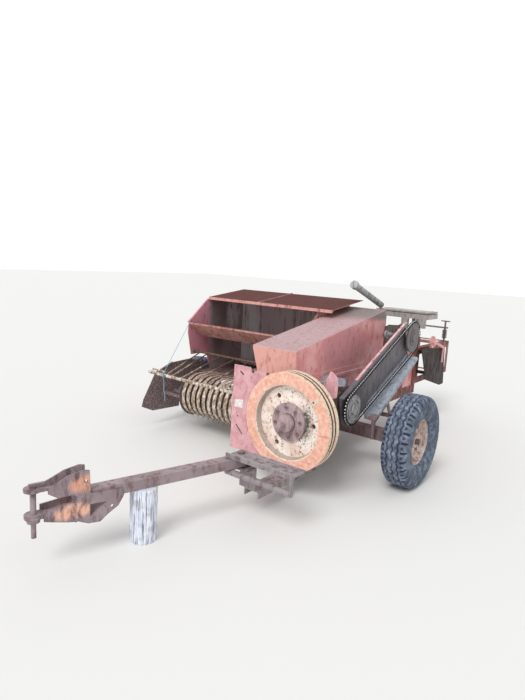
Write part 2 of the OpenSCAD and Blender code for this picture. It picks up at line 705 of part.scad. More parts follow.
module drawbar_carrier() {
    // channel under the flywheel, hung from the main rails
    placed() color(rust) {
        difference() {
            bx([560, car_y0, car_z0], [gd_x0 + 12, car_y1, car_z1]);
            bx([559, car_y0 + 8, car_z0 - 1], [gd_x0 + 13, car_y1 - 8, car_z1 - 8]);
        }
        bx([600, co_y0, car_z1 - 1], [612, co_y1, frame_z0]);
        for (y = [co_y0 + 10, co_y1 - 22]) xz(y, y + 12) polygon([[611, car_z1 - 1], [700, car_z1 - 1],
            [611, frame_z0 - 40]]);
    }
}
module guide_frame() {
    placed() color(rust) {
        // top plate with its latch holes, and its turned-up front edge
        difference() {
            bx([gd_x0, gd_y0, gd_z], [gd_x1, gd_y1, gd_z + gd_t]);
            zbar(pv_x, pv_y, pv_r, gd_z - 1, gd_z + gd_t + 1);
            for (q = [[1300, 102], [1365, 302]]) zbar(q[0], q[1], 14, gd_z - 1, gd_z + gd_t + 1);
        }
        bx([gd_x1 - 8, gd_y0, gd_z + gd_t - 1], [gd_x1, gd_y1, gd_z + gd_t + 20]);
        // upright on the carrier, and the lower tube on its two arms
        bx([gd_x0, gd_y0, car_z1], [gd_x0 + 12, 20, gd_z + 1]);
        ybar(tube_x, tube_z, tube_r, gd_y0, gd_y1);
        for (y = [gd_y0, 8]) bx([gd_x0 + 11, y, tube_z - 12], [tube_x, y + 12, tube_z + 12]);
        // strut at the far end of the slot
        bx([gd_x1 - 25, gd_y1 - 10, tube_z], [gd_x1, gd_y1, gd_z + 1]);
        // lower ear of the pivot
        difference() {
            bx([gd_x0 + 11, -110, bar_z - 20], [pv_x + 36, -20, bar_z - 10]);
            zbar(pv_x, pv_y, pv_r, bar_z - 30, bar_z);
        }
    }
}
module drawbar_pivot_pin() {
    placed() color(rust) {
        zbar(pv_x, pv_y, pv_r, bar_z - 30, gd_z + gd_t);
        zbar(pv_x, pv_y, pv_r + 8, gd_z + gd_t, gd_z + gd_t + 10);
    }
}
module support_log() {
    // a block of wood, a little out of round, with its top worn
    placed() color(grey) translate([log_x, log_y, 0]) rotate([0, 0, 20])
        linear_extrude(bar_z - 0.3) polygon([for (i = [0:23]) let (a = i * 15,
            r = log_r * (1 + 0.03 * sin(3 * a) + 0.02 * cos(5 * a))) [r * cos(a), r * sin(a)]]);
}
module flywheel() {
    r1 = fly_r;
    r0 = fly_r - fly_ring;
    // two belt grooves, by the distance of each from the face
    grooves = [30, 66];
    groove_w = 22;
    groove_d = 14;
    placed() color(orange) difference() {
        translate([0, 0, fly_z]) rotate([0, 90, 0]) rotate_extrude($fn = 72) difference() {
            polygon([[hub_r, disc_x0], [r0 - 22, disc_x0], [r0 - 8, fly_x0 + 8], [r0, fly_x0],
                [r1, fly_x0], [r1, fly_x1 - 4], [r1 - 4, fly_x1], [r0, fly_x1], [r0 - 6, fly_x1 - 6],
                [r0 - 18, disc_x1], [hub_r, disc_x1]]);
            for (g = grooves) polygon([[r1 + 1, fly_x1 - g - groove_w], [r1 + 1, fly_x1 - g],
                [r1 - groove_d, fly_x1 - g - groove_w / 2 + 3],
                [r1 - groove_d, fly_x1 - g - groove_w / 2 - 3]]);
        }
        for (a = [3, 121, 240]) xbar(195 * cos(a), fly_z + 195 * sin(a), 17, disc_x0 - 1, disc_x1 + 1);
    }
}
module flywheel_hub() {
    bolts = 8;
    placed() color(rust) {
        translate([0, 0, fly_z]) rotate([0, 90, 0]) rotate_extrude()
            polygon([[shaft_r + pin_gap, 770], [hub_r, 770], [hub_r, disc_x1], [flange_r, disc_x1],
                [flange_r, disc_x1 + 18], [hub_r + 6, disc_x1 + 24], [hub_r, 935], [stub_r, 940],
                [stub_r, 1000], [0, 1000], [0, 902], [shaft_r + pin_gap, 902]]);
        for (k = [0:bolts - 1]) xnut(105 * cos(k * 45 + 10), fly_z + 105 * sin(k * 45 + 10), 26,
            disc_x1 + 17, disc_x1 + 32);
    }
}
// a wheel rim about Y: r bead radius, w width, b hub bore, n wheel nuts
module rim(r, w, b, n) {
    difference() {
        rotate([-90, 0, 0]) rotate_extrude() polygon([[b, -34], [b + 28, -34], [b + 30, -8],
            [r - 44, 6], [r - 30, 16], [r - 26, -w / 2 + 18], [r - 12, -w / 2], [r, -w / 2],
            [r, w / 2], [r - 12, w / 2], [r - 26, w / 2 - 18], [r - 32, 26], [r - 48, 14],
            [b + 34, 2], [b + 28, 38], [b, 38]]);
        for (k = [0:3]) rotate([0, 45 + k * 90, 0]) translate([r * 0.64, -30, 0])
            rotate([-90, 0, 0]) cylinder(r = 11, h = 70, $fn = 20);
    }
    for (k = [0:n - 1]) rotate([0, k * 360 / n, 0]) translate([b + 46, 1, 0]) rotate([-90, 0, 0])
        cylinder(d = 20, h = 14, $fn = 6);
}
// a tyre about Y: r tread radius, w width, b bead radius
module tyre(r, w, b) {
    half = [[b, w * 0.5], [r - (r - b) * 0.26, w * 0.5], [r, w * 0.37]];
    rotate([-90, 0, 0]) rotate_extrude($fn = 48)
        polygon(concat(half, [for (i = [len(half) - 1:-1:0]) [half[i][0], -half[i][1]]]));
}
module left_rim() {
    placed() color(cream) translate([lw_x, lw_y, left_tyre_r])
        rim(rim_l_r, left_tyre_w * 0.66, spindle_r + pin_gap, 5);
}
module left_tyre() {
    placed() color(dark) translate([lw_x, lw_y, left_tyre_r]) tyre(left_tyre_r, left_tyre_w, rim_l_r);
}
module right_rim() {
    placed() color(cream) translate([rw_x, rw_y, right_tyre_r]) mirror([0, 1, 0])
        rim(rim_r_r, right_tyre_w * 0.66, spindle_r + pin_gap, 5);
}
module right_tyre() {
    placed() color(dark) translate([rw_x, rw_y, right_tyre_r])
        tyre(right_tyre_r, right_tyre_w, rim_r_r);
}
module pickup_frame() {
    // two side plates, round to the front, joined by a beam behind the reel
    ro = band_r + 14;
    placed() color(rust) {
        for (y = [pk_s0, pk_s1]) difference() {
            xz(y, y + pk_t) polygon(concat([[-22, 400], [-22, pk_hz + 20], [20, pk_hz + 24], [66, 500]],
                arc(pk_x, pk_z, ro, 100, -110, 14), [[40, 190], [20, 380]]));
            ybar(pk_hx, pk_hz, pk_pin_r + pin_gap, y - 1, y + pk_t + 1);
            ybar(pk_x, pk_z, 20 + pin_gap, y - 1, y + pk_t + 1);
        }
        bx([5, pk_s0 + pk_t - 1, 185], [45, pk_s1 + 1, 235]);
    }
}
module pickup_bands() {
    // each band: up from the rear, round the front and back under
    t = 5;
    top = [45, pk_z + band_r - 12];
    low = [45, pk_z - band_r + 47];
    path = concat([top], arc(pk_x, pk_z, band_r, 96, -106, 14), [low]);
    inner = concat([[low[0], low[1] + t]], arc(pk_x, pk_z, band_r - t, -106, 96, 14),
        [[top[0], top[1] - t]]);
    placed() color(cream) for (k = [0:band_n - 1])
        xz(pk_y0 + k * band_pitch, pk_y0 + k * band_pitch + band_w) polygon(concat(path, inner));
}
module crop_divider() {
    // outline sheet outside the pickup's right end, on two arms, with a rod on its top edge
    div_y = feeder_end_y - 20;
    placed() color(rust) {
        xz(div_y, div_y + 6) polygon([[200, 140], [540, 155], [672, 215], [655, 280], [520, 515],
            [430, 550], [300, 598], [60, 610], [-110, 560], [-120, 470], [60, 440], [205, 330]]);
        for (x = [250, 380]) bx([x, div_y + 5, 300], [x + 30, pk_s0, 325]);
        rod([300, div_y + 3, 598], [520, div_y + 3, 515], 9);
    }
}
module pickup_reel() {
    // centre shaft, end spiders, four tine bars; one tine at every gap between bands
    placed() color(rust) {
        ybar(pk_x, pk_z, 20, pk_s0, pk_s1 + pk_t);
        for (a = [45:90:315]) {
            bar = [pk_x + reel_r * cos(a), pk_z + reel_r * sin(a)];
            for (y = [pk_y0 + band_w + 8, pk_y1 - band_w - 20]) rod([pk_x, y, pk_z], [bar[0], y, bar[1]], 10);
            ybar(bar[0], bar[1], 12, pk_y0, pk_y1);
            for (k = [0:band_n - 2]) {
                y = pk_y0 + band_w / 2 + (k + 0.5) * band_pitch;
                rod([bar[0], y, bar[1]], [pk_x + tine_r * cos(a), y, pk_z + tine_r * sin(a)],
                    tine_d / 2, 8);
            }
        }
    }
}
module drawbar() {
    placed() color(rust) on_bar() difference() {
        union() {
            bx([0, -bar_w / 2, bar_z], [hitch_s - 205, bar_w / 2, bar_z + bar_h]);
            zbar(0, 0, bar_w / 2, bar_z, bar_z + bar_h);
        }
        bx([90, -bar_w / 2 + bar_t, bar_z + bar_t],
            [hitch_s - 204, bar_w / 2 - bar_t, bar_z + bar_h - bar_t]);
        zbar(0, 0, pv_r + pin_gap, bar_z - 1, bar_z + bar_h + 1);
    }
}
module hitch_fork() {
    // two cheeks beside the drawbar, open between the prongs that hold the pin
    s = hitch_s;
    zt = bar_z + bar_h;
    cheek_t = 10;
    placed() color(rust) on_bar() {
        for (n = [-bar_w / 2 - cheek_t, bar_w / 2]) difference() {
            xz(n, n + cheek_t) polygon([[s - 62, zt + 59], [s - 111, zt + 80], [s - 160, zt + 104],
                [s - 241, zt + 120], [s - 270, zt + 114], [s - 274, zt - 12], [s - 448, zt - 20],
                [s - 457, bar_z], [s - 424, bar_z - 56], [s - 368, bar_z - 89],
                [s - 325, bar_z - 123], [s - 261, bar_z - 118], [s - 209, bar_z - 93],
                [s - 158, bar_z - 85], [s - 69, bar_z - 61], [s - 40, bar_z - 52],
                [s - 40, bar_z + 6], [s - 109, bar_z + 12], [s - 159, bar_z + 19],
                [s - 194, bar_z + 16], [s - 205, bar_z + 42], [s - 184, bar_z + 60],
                [s - 110, zt - 4], [s - 62, zt + 28]]);
            // the three-cornered opening under the bar, and two bolt holes
            xz(n - 1, n + cheek_t + 1) polygon([[s - 272, bar_z - 12], [s - 357, bar_z - 17],
                [s - 271, bar_z - 80]]);
            for (q = [[s - 390, bar_z - 50], [s - 250, zt + 60]])
                ybar(q[0], q[1], 9, n - 1, n + cheek_t + 1, $fn = 20);
        }
        bx([s - 205, -bar_w / 2, bar_z - 100], [s - 195, bar_w / 2, zt + 106]);
        for (z = [[bar_z - 38, 18], [zt + 43, 14]]) difference() {
            union() {
                bx([s - 85, -bar_w / 2, z[0]], [s, bar_w / 2, z[0] + z[1]]);
                zbar(s, 0, prong_r, z[0], z[0] + z[1]);
            }
            zbar(s, 0, pin_r, z[0] - 1, z[0] + z[1] + 1);
        }
        difference() {
            zbar(s, 0, 32, bar_z - 62, bar_z - 37);
            zbar(s, 0, pin_r, bar_z - 63, bar_z - 36);
        }
    }
}
module hitch_pin() {
    // flat head, shank through the fork and a turned-down end below it
    zt = bar_z + bar_h + 57;
    placed() color(rust) on_bar() {
        zbar(hitch_s, 0, pin_r, bar_z - 67, zt + 10);
        zbar(hitch_s, 0, pin_r - 2, bar_z - 147, bar_z - 66);
        bx([hitch_s - 62, -10, zt + 10], [hitch_s + 20, 10, zt + 22]);
    }
}

chamber_left_wall();
chamber_right_wall();
chamber_floor();
chamber_roof();
chamber_ribs();
tension_rails();
tension_screws();
main_frame();
front_panel();
plunger_hood();
gearbox();
flywheel_spindle();
axle_beam();
feeder_floor();
feeder_back_wall();
feeder_top_hood();
feeder_tray();
feeder_right_end();
feeder_left_end();
pickup_brackets();
windguard();
windguard_twine();
twine_tail();
lower_sprocket();
upper_sprocket();
drive_chain();
chain_guard();
chain_trough();
knotter_frame();
knotters();
needle_drive();
twine_box();
twine_box_lid();
needle_yoke();
rear_shield();
lever_tube();
drawbar_carrier();
guide_frame();
drawbar_pivot_pin();
support_log();
flywheel();
flywheel_hub();
left_rim();
left_tyre();
right_rim();
right_tyre();
pickup_frame();
pickup_bands();
crop_divider();
pickup_reel();
drawbar();
hitch_fork();
hitch_pin();
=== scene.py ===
"""An old square baler, parked with its drawbar on a log: the looks, built over the CAD frame."""

import bpy
import numpy as np
from mathutils import Matrix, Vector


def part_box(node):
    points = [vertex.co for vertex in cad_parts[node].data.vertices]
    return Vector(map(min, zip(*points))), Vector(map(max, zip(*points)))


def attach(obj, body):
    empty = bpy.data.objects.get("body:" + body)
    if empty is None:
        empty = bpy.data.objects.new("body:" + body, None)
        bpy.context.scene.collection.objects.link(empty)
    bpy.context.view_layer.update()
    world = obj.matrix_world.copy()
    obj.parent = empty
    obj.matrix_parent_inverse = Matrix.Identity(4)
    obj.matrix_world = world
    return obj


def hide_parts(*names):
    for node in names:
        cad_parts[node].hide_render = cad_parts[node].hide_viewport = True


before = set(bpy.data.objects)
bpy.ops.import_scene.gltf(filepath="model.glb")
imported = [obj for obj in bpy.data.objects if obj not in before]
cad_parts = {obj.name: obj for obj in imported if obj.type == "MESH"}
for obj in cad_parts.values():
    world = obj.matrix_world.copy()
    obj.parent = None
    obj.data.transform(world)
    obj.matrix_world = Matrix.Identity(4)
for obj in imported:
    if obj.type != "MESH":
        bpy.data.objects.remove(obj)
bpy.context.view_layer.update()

# --- Camera -----------------------------------------------------------------------------
# It stands at head height off the machine's front left, looking back across the flywheel.
# Its place is measured from the middle of the flywheel's face, in metres.
fly_lo, fly_hi = (np.array(corner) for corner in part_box("flywheel"))
fly_centre = (fly_lo + fly_hi) / 2
fly_face = np.array([fly_hi[0], fly_centre[1], fly_centre[2]])
camera_from_face = np.array([2.853, 1.975, 1.0745])
camera_yaw, camera_pitch, camera_roll = np.radians([37.70, 9.45, 2.93])

level = np.array([-np.cos(camera_yaw), -np.sin(camera_yaw), 0.0])
ahead = level * np.cos(camera_pitch) - np.array([0, 0, np.sin(camera_pitch)])
right = np.cross(level, [0.0, 0.0, 1.0])
above = np.cross(right, ahead)
across = np.cos(camera_roll) * right + np.sin(camera_roll) * above
upward = np.cos(camera_roll) * above - np.sin(camera_roll) * right
place = fly_face + camera_from_face
camera = bpy.data.objects.new("camera", bpy.data.cameras.new("camera"))
camera.data.sensor_width = 36.0
camera.data.lens = 27.05
axes = np.column_stack([across, upward, -ahead])
camera.matrix_world = Matrix([[*row, x] for row, x in zip(axes, place)] + [[0, 0, 0, 1]])
bpy.context.scene.collection.objects.link(camera)
bpy.context.scene.camera = camera
bpy.context.scene.view_settings.view_transform = "Standard"

# --- Blue twine -------------------------------------------------------------------------
# Polypropylene baler twine, 5 mm thick. A taut length ties the windguard up to the feeder's
# lip, and its loose end hangs from the knot on the windguard's bar.
# Places below are in the drawing's coordinates, which have the flywheel's face at this point.
face_in_drawing = np.array([0.920, 0.0, 0.534])
shift = fly_face - face_in_drawing
twine_thick = 0.005
tail_marks = shift + np.array([
    [703, -1486, 604], [714, -1483, 605], [724, -1479, 597], [728, -1473, 582], [726, -1468, 565],
    [722, -1464, 545], [720, -1462, 520], [722, -1460, 495], [725, -1458, 470], [724, -1455, 445],
    [720, -1453, 420], [717, -1452, 395], [716, -1450, 370], [718, -1448, 350]]) / 1000


def smooth(marks, steps):
    """A Catmull-Rom curve through the marks, each stretch of it cut into equal steps of u.

    b + u (c - a) / 2 + u^2 (a - 5b/2 + 2c - d/2) + u^3 (3b - a - 3c + d) / 2 between b and c.
    """
    padded = np.vstack([marks[:1], marks, marks[-1:]])
    a, b, c, d = (padded[k:len(padded) - 3 + k, None] for k in range(4))
    u = (np.arange(steps) / steps)[None, :, None]
    curve = (b + u / 2 * (c - a) + u ** 2 * (a - 2.5 * b + 2 * c - d / 2)
             + u ** 3 * (1.5 * b - a / 2 - 1.5 * c + d / 2))
    return np.vstack([curve.reshape(-1, marks.shape[1]), marks[-1:]])


tail_route = smooth(tail_marks, 2)


def linear(code):
    """An sRGB hex colour as linear RGBA.

    c / 12.92 up to c = 0.04045, and ((c + 0.055) / 1.055) ** 2.4 above it.
    """
    c = np.array([int(code[i:i + 2], 16) for i in (1, 3, 5)]) / 255
    return (*np.where(c <= 0.04045, c / 12.92, ((c + 0.055) / 1.055) ** 2.4).tolist(), 1.0)


def add(tree, kind, sockets=None, stops=None, **settings):
    """Adds a shader node: sockets maps an input to a value or to the output that feeds it.

    stops gives a ramp's positions and colours, its first and last stop before those between.
    """
    n = tree.nodes.new("ShaderNode" + kind)
    for key, value in settings.items():
        setattr(n, key, value)
    for key, value in (sockets or {}).items():
        if isinstance(value, bpy.types.NodeSocket):
            tree.links.new(value, n.inputs[key])
        else:
            n.inputs[key].default_value = value
    for i, (at, code) in enumerate(stops or []):
        element = n.color_ramp.elements[i] if i < 2 else n.color_ramp.elements.new(at)
        element.position, element.color = at, linear(code)
    return n


def material(name):
    """A new material with an empty tree, its Principled surface and its output."""
    m = bpy.data.materials.new(name)
    m.use_nodes = True
    m.node_tree.nodes.clear()
    surface = add(m.node_tree, "BsdfPrincipled")
    add(m.node_tree, "OutputMaterial", {"Surface": surface.outputs[0]})
    return m, m.node_tree, surface


def mesh_piece(name, points, faces, finish, body, shade_smooth=False):
    """A mesh object at the origin from arrays of points and faces, riding on a body."""
    mesh = bpy.data.meshes.new(name)
    mesh.from_pydata(np.asarray(points, float).tolist(), [], [list(f) for f in faces])
    mesh.polygons.foreach_set("use_smooth", np.full(len(mesh.polygons), shade_smooth))
    mesh.materials.append(finish)
    mesh.update()
    piece = bpy.data.objects.new(name, mesh)
    bpy.context.scene.collection.objects.link(piece)
    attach(piece, body)
    return piece


def grid_faces(rows, columns, loop=False):
    """Quads (i, j), (i, j + 1), (i + 1, j + 1), (i + 1, j) of a rows by columns grid of points.

    The last column joins the first, and with loop the last row joins the first too.
    """
    row, column = np.meshgrid(np.arange(rows if loop else rows - 1), np.arange(columns),
                              indexing="ij")
    next_row, next_column = (row + 1) % rows, (column + 1) % columns
    corners = [row * columns + column, row * columns + next_column,
               next_row * columns + next_column, next_row * columns + column]
    return np.stack(corners, -1).reshape(-1, 4)


def tube(route, radius, sides):
    """Points and faces of a closed tube: p + r (cos t a + sin t b) round each point p of the route.

    a and b are square to the heading there and to each other, and a fan closes each end.
    """
    heading = np.gradient(route, axis=0)
    heading /= np.linalg.norm(heading, axis=1)[:, None]
    side = np.cross(heading, [0.35, 0.9, 0.25])
    side /= np.linalg.norm(side, axis=1)[:, None]
    other = np.cross(heading, side)
    t = np.arange(sides) * 2 * np.pi / sides
    out = np.cos(t)[:, None] * side[:, None] + np.sin(t)[:, None] * other[:, None]
    points = route[:, None] + radius * out
    faces = grid_faces(len(route), sides).tolist()
    last = (len(route) - 1) * sides
    faces += [list(range(sides - 1, -1, -1)), list(range(last, last + sides))]
    return points.reshape(-1, 3), faces


def twine_finish():
    """Polypropylene split-film twine: satin blue fibres that fade to near white."""
    m, tree, surface = material("polypropylene_twine")
    where = add(tree, "TexCoord").outputs["Object"]
    fibre = add(tree, "TexNoise", {"Vector": where, "Scale": 420.0, "Detail": 4.0})
    colour = add(tree, "ValToRGB", {"Fac": fibre.outputs["Fac"]},
                 [(0.30, "#3a8fb4"), (0.72, "#bfe0ea"), (0.5, "#72b8d2")])
    tree.links.new(colour.outputs["Color"], surface.inputs["Base Color"])
    bump = add(tree, "Bump", {"Height": fibre.outputs["Fac"], "Strength": 0.5, "Distance": 0.0006})
    tree.links.new(bump.outputs["Normal"], surface.inputs["Normal"])
    surface.inputs["Roughness"].default_value = 0.5
    return m


twine = twine_finish()
tail_points, tail_faces = tube(tail_route, twine_thick / 2, 8)
tail = mesh_piece("twine_tail_blue", tail_points, tail_faces, twine, "machine", shade_smooth=True)
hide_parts("twine_tail")

# --- Chamber and frame ------------------------------------------------------------------
# Pressed and folded steel, once sprayed with red enamel that has chalked to a pinkish red and
# rusted through in patches, on a frame of rolled sections that has lost nearly all its paint.


def dress(finish, *names):
    """Gives CAD nodes their finish, and keeps their meshes as they are."""
    for name in names:
        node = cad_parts[name]
        if not node.material_slots:
            node.data.materials.append(finish)
        for slot in node.material_slots:
            slot.link = "OBJECT"
            slot.material = finish


pits_per_metre, scratches_per_metre = 260.0, 75.0


def weathered(name, paint, chalk, rust, dark_rust, share, size=0.06, streak=3.0, gloss=0.5,
              top=None, front=None, zones=(), scuffs=0.0, edge_glint=None, shine=0.3,
              zone_side=None):
    """Old paint over rusting steel. share is how much has rusted, size a patch's width in metres.

    A broad noise fades the paint, one drawn out streak times along Z sets the patches and runs
    of rust, and a fine one their ragged rims and pits. Sharp edges lose their paint first.
    top and front tint what looks up or ahead, gloss is the paint's roughness, scuffs the share
    of pale scratches, edge_glint the pale colour of bends and rims, partly rubbed-off paint and
    partly a painted highlight, and shine the specular level.
    Each zone has a centre, half sizes, a colour, which holds where |(p - centre) / half| < 1, and
    how far it fades out. With zone_side, zones show only on faces that look that way.
    """
    m, tree, surface = material(name)
    where = add(tree, "TexCoord").outputs["Object"]
    true_normal = add(tree, "NewGeometry").outputs["True Normal"]
    tall = add(tree, "Mapping", {"Vector": where, "Scale": (1.0, 1.0, 1 / streak)}).outputs[0]
    broad = add(tree, "TexNoise",
                {"Vector": where, "Scale": 0.28 / size, "Detail": 3.0}).outputs["Fac"]
    patch = add(tree, "TexNoise", {"Vector": tall, "Scale": 1 / size, "Detail": 8.0,
                                   "Roughness": 0.72}).outputs["Fac"]
    pits = add(tree, "TexNoise", {"Vector": where, "Scale": pits_per_metre, "Detail": 3.0,
                                  "Roughness": 0.7}).outputs["Fac"]
    fade = add(tree, "MapRange", {"Value": broad, "From Min": 0.36, "From Max": 0.64}).outputs[0]
    coat = add(tree, "Mix", {"Factor": fade, "A": linear(paint), "B": linear(chalk)},
               data_type="RGBA").outputs[2]
    normal = add(tree, "SeparateXYZ", {0: true_normal})
    for axis, tint in (("Z", top), ("X", front)):
        if tint:
            facing = add(tree, "MapRange", {"Value": normal.outputs[axis], "From Min": 0.35,
                                            "From Max": 0.8, "To Max": 0.9}).outputs[0]
            coat = add(tree, "Mix", {"Factor": facing, "A": coat, "B": linear(tint)},
                       data_type="RGBA").outputs[2]
    for centre, half, tint, fading in zones:
        inside = add(tree, "VectorMath", {0: where, 1: shift + centre},
                     operation="SUBTRACT").outputs[0]
        inside = add(tree, "VectorMath", {0: inside, 1: half}, operation="DIVIDE").outputs[0]
        inside = add(tree, "VectorMath", {0: inside}, operation="LENGTH").outputs["Value"]
        inside = add(tree, "Math", {0: patch, 1: fading, 2: inside},
                     operation="MULTIPLY_ADD").outputs[0]
        inside = add(tree, "MapRange", {"Value": inside, "From Min": 1 + 0.8 * fading,
                                        "From Max": 0.99 + 0.2 * fading}).outputs[0]
        if zone_side:
            looks = add(tree, "VectorMath", {0: true_normal, 1: zone_side},
                        operation="DOT_PRODUCT").outputs["Value"]
            looks = add(tree, "MapRange",
                        {"Value": looks, "From Min": 0.3, "From Max": 0.6}).outputs[0]
            inside = add(tree, "Math", {0: inside, 1: looks}, operation="MULTIPLY").outputs[0]
        coat = add(tree, "Mix", {"Factor": inside, "A": coat, "B": linear(tint)},
                   data_type="RGBA").outputs[2]
    tones = add(tree, "MapRange", {"Value": pits, "From Min": 0.35, "From Max": 0.65}).outputs[0]
    oxide = add(tree, "Mix", {"Factor": tones, "A": linear(dark_rust), "B": linear(rust)},
                data_type="RGBA")
    round_off = add(tree, "Bevel", {"Radius": 0.006}, samples=4).outputs[0]
    turn = add(tree, "VectorMath", {0: round_off, 1: true_normal},
               operation="DOT_PRODUCT").outputs["Value"]
    edge = add(tree, "MapRange", {"Value": turn, "From Min": 0.995, "From Max": 0.90,
                                  "To Max": 0.16}).outputs[0]
    ragged = add(tree, "Math", {0: patch, 1: edge}, operation="ADD").outputs[0]
    ragged = add(tree, "Math", {0: pits, 1: 0.30, 2: ragged}, operation="MULTIPLY_ADD").outputs[0]
    start = 0.82 - 0.44 * share
    bare = add(tree, "MapRange",
               {"Value": ragged, "From Min": start, "From Max": start + 0.16}).outputs[0]
    colour = add(tree, "Mix", {"Factor": bare, "A": coat, "B": oxide.outputs[2]}, data_type="RGBA")
    if scuffs:
        scratch = add(tree, "TexNoise", {"Vector": where, "Scale": scratches_per_metre,
                                         "Detail": 9.0, "Roughness": 0.8}).outputs["Fac"]
        faint = 0.66 - 0.14 * scuffs
        scratch = add(tree, "MapRange", {"Value": scratch, "From Min": faint,
                                         "From Max": faint + 0.10, "To Max": 0.8}).outputs[0]
        colour = add(tree, "Mix",
                     {"Factor": scratch, "A": colour.outputs[2], "B": linear("#f0e0dc")},
                     data_type="RGBA")
    if edge_glint:
        glint = add(tree, "MapRange",
                    {"Value": turn, "From Min": 0.985, "From Max": 0.93}).outputs[0]
        glint = add(tree, "Math", {0: glint, 1: tones}, operation="MULTIPLY").outputs[0]
        colour = add(tree, "Mix",
                     {"Factor": glint, "A": colour.outputs[2], "B": linear(edge_glint)},
                     data_type="RGBA")
    tree.links.new(colour.outputs[2], surface.inputs["Base Color"])
    dull = add(tree, "MapRange", {"Value": bare, "To Min": gloss, "To Max": 0.88}).outputs[0]
    tree.links.new(dull, surface.inputs["Roughness"])
    relief = add(tree, "Math", {0: bare, 1: -0.5, 2: pits}, operation="MULTIPLY_ADD").outputs[0]
    bump = add(tree, "Bump", {"Height": relief, "Strength": 0.55, "Distance": 0.0012})
    tree.links.new(bump.outputs["Normal"], surface.inputs["Normal"])
    surface.inputs["Specular IOR Level"].default_value = shine
    return m


# The front tint is lighter: partly the paint's own tone, partly painted light on what looks ahead.
chalked_red = weathered("chalked_red_enamel", "#e28e90", "#ecb1b0", "#bb7f78", "#86584f", 0.34,
                        size=0.03, streak=2.0, top="#b39b9f", front="#dda399", scuffs=0.5,
                        edge_glint="#f3e6e2",
                        zones=[((-0.75, -0.25, 1.2), (0.55, 0.40, 0.055), "#857b79", 0.9),
                               ((0.05, -0.06, 0.95), (0.36, 0.04, 0.20), "#ca898e", 0.9)])
bare_rail = weathered("rusted_red_rail", "#a0686a", "#9a7672", "#865a50", "#573d38", 0.65,
                      size=0.05)
brown_rust = weathered("brown_mill_rust", "#887478", "#7e6f70", "#7f655f", "#524646", 0.6,
                       size=0.04)
grey_rust = weathered("grey_frame_rust", "#a0969a", "#968e92", "#84716d", "#524a4c", 0.45,
                      size=0.04, edge_glint="#d8d4d6")
# The rear shield's near black is partly painted shade.
dark_red_and_painted_shade = weathered("dark_red_shield_and_painted_shade", "#2b1f22", "#35272a", "#3a2825", "#241c1b", 0.5, size=0.04)
dress(twine, "windguard_twine")
dress(chalked_red, "chamber_left_wall", "chamber_right_wall", "plunger_hood", "needle_drive")
dress(dark_red_and_painted_shade, "rear_shield")
dress(bare_rail, "main_frame", "tension_rails", "chamber_ribs")
dress(grey_rust, "guide_frame", "drawbar_carrier")
dress(brown_rust, "chamber_floor", "chamber_roof", "tension_screws", "axle_beam", "needle_yoke",
      "drawbar_pivot_pin", "pickup_brackets", "pickup_frame", "pickup_reel", "feeder_floor")

# --- Front panel ------------------------------------------------------------------------
# A flat steel plate bolted across the chamber's mouth behind the flywheel, in a pinker red
# that has chalked evenly. One blank white sticker is left on it.
panel_red = weathered("chalked_pink_enamel", "#d2969e", "#e3b2b8", "#b27875", "#805055", 0.30,
                      size=0.022, scuffs=0.7, edge_glint="#f6e4e4")
dress(panel_red, "front_panel")
panel_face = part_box("front_panel")[1][0]
sticker_thick = 0.0005
sticker_corners = [(-0.610, 0.493), (-0.530, 0.496), (-0.525, 0.562), (-0.603, 0.552)]


def plate(outline, back, front):
    """A flat plate square to X: the outline's (y, z) points at the back and again at the front."""
    ring = np.asarray(outline)
    n = len(ring)
    points = np.vstack([np.column_stack([np.full(n, x), ring]) for x in (back, front)])
    sides = [[k, (k + 1) % n, n + (k + 1) % n, n + k] for k in range(n)]
    return points, [list(range(n - 1, -1, -1)), list(range(n, 2 * n))] + sides


def sticker_finish():
    """Matt white vinyl that has lost its print, a little grey where dirt has settled."""
    m, tree, surface = material("blank_white_vinyl")
    where = add(tree, "TexCoord").outputs["Object"]
    grime = add(tree, "TexNoise", {"Vector": where, "Scale": 60.0, "Detail": 5.0}).outputs["Fac"]
    colour = add(tree, "ValToRGB", {"Fac": grime}, [(0.35, "#dcd6d2"), (0.62, "#f4f2f0")])
    tree.links.new(colour.outputs["Color"], surface.inputs["Base Color"])
    surface.inputs["Roughness"].default_value = 0.45
    return m


sticker_outline = np.array(sticker_corners) + shift[1:]
mesh_piece("blank_sticker", *plate(sticker_outline, panel_face, panel_face + sticker_thick),
           sticker_finish(), "machine")


def bolt_heads(places, across, tall):
    """Hexagon heads with a washer: five rings of six corners on one template, set at each place.

    They stand proud along +X, and a corner lies at radius across / (2 cos 30).
    """
    t = np.arange(6) * np.pi / 3
    hexagon = np.column_stack([np.cos(t), np.sin(t)]) * across / 2 / np.cos(np.pi / 6)
    rings = [(1.35, 0.0), (1.35, 0.12), (1.0, 0.12), (1.0, 0.85), (0.82, 1.0)]
    template = np.vstack([np.column_stack([np.full(6, h * tall), hexagon * r]) for r, h in rings])
    faces = grid_faces(5, 6)
    lids = [list(range(5, -1, -1)), list(range(24, 30))]
    places = np.asarray(places, float)
    points = (places[:, None] + template[None]).reshape(-1, 3)
    every = []
    for k in range(len(places)):
        every += (faces + 30 * k).tolist() + [[i + 30 * k for i in lid] for lid in lids]
    return points, every


bolt_steel = weathered("rusted_bolt_steel", "#7a6660", "#8f7d76", "#7f5546", "#54403a", 0.6,
                       size=0.01)
panel_bolt_size, panel_bolt_tall = 0.019, 0.008
panel_bolt_places = [(-0.44, 0.800), (-0.30, 0.800), (-0.16, 0.800), (0.18, 0.78), (0.18, 0.30),
                     (-0.44, 0.36), (-0.08, 0.25)]
panel_bolts = [(panel_face, y + shift[1], z) for y, z in panel_bolt_places]
mesh_piece("panel_bolts", *bolt_heads(panel_bolts, panel_bolt_size, panel_bolt_tall),
           bolt_steel, "machine")

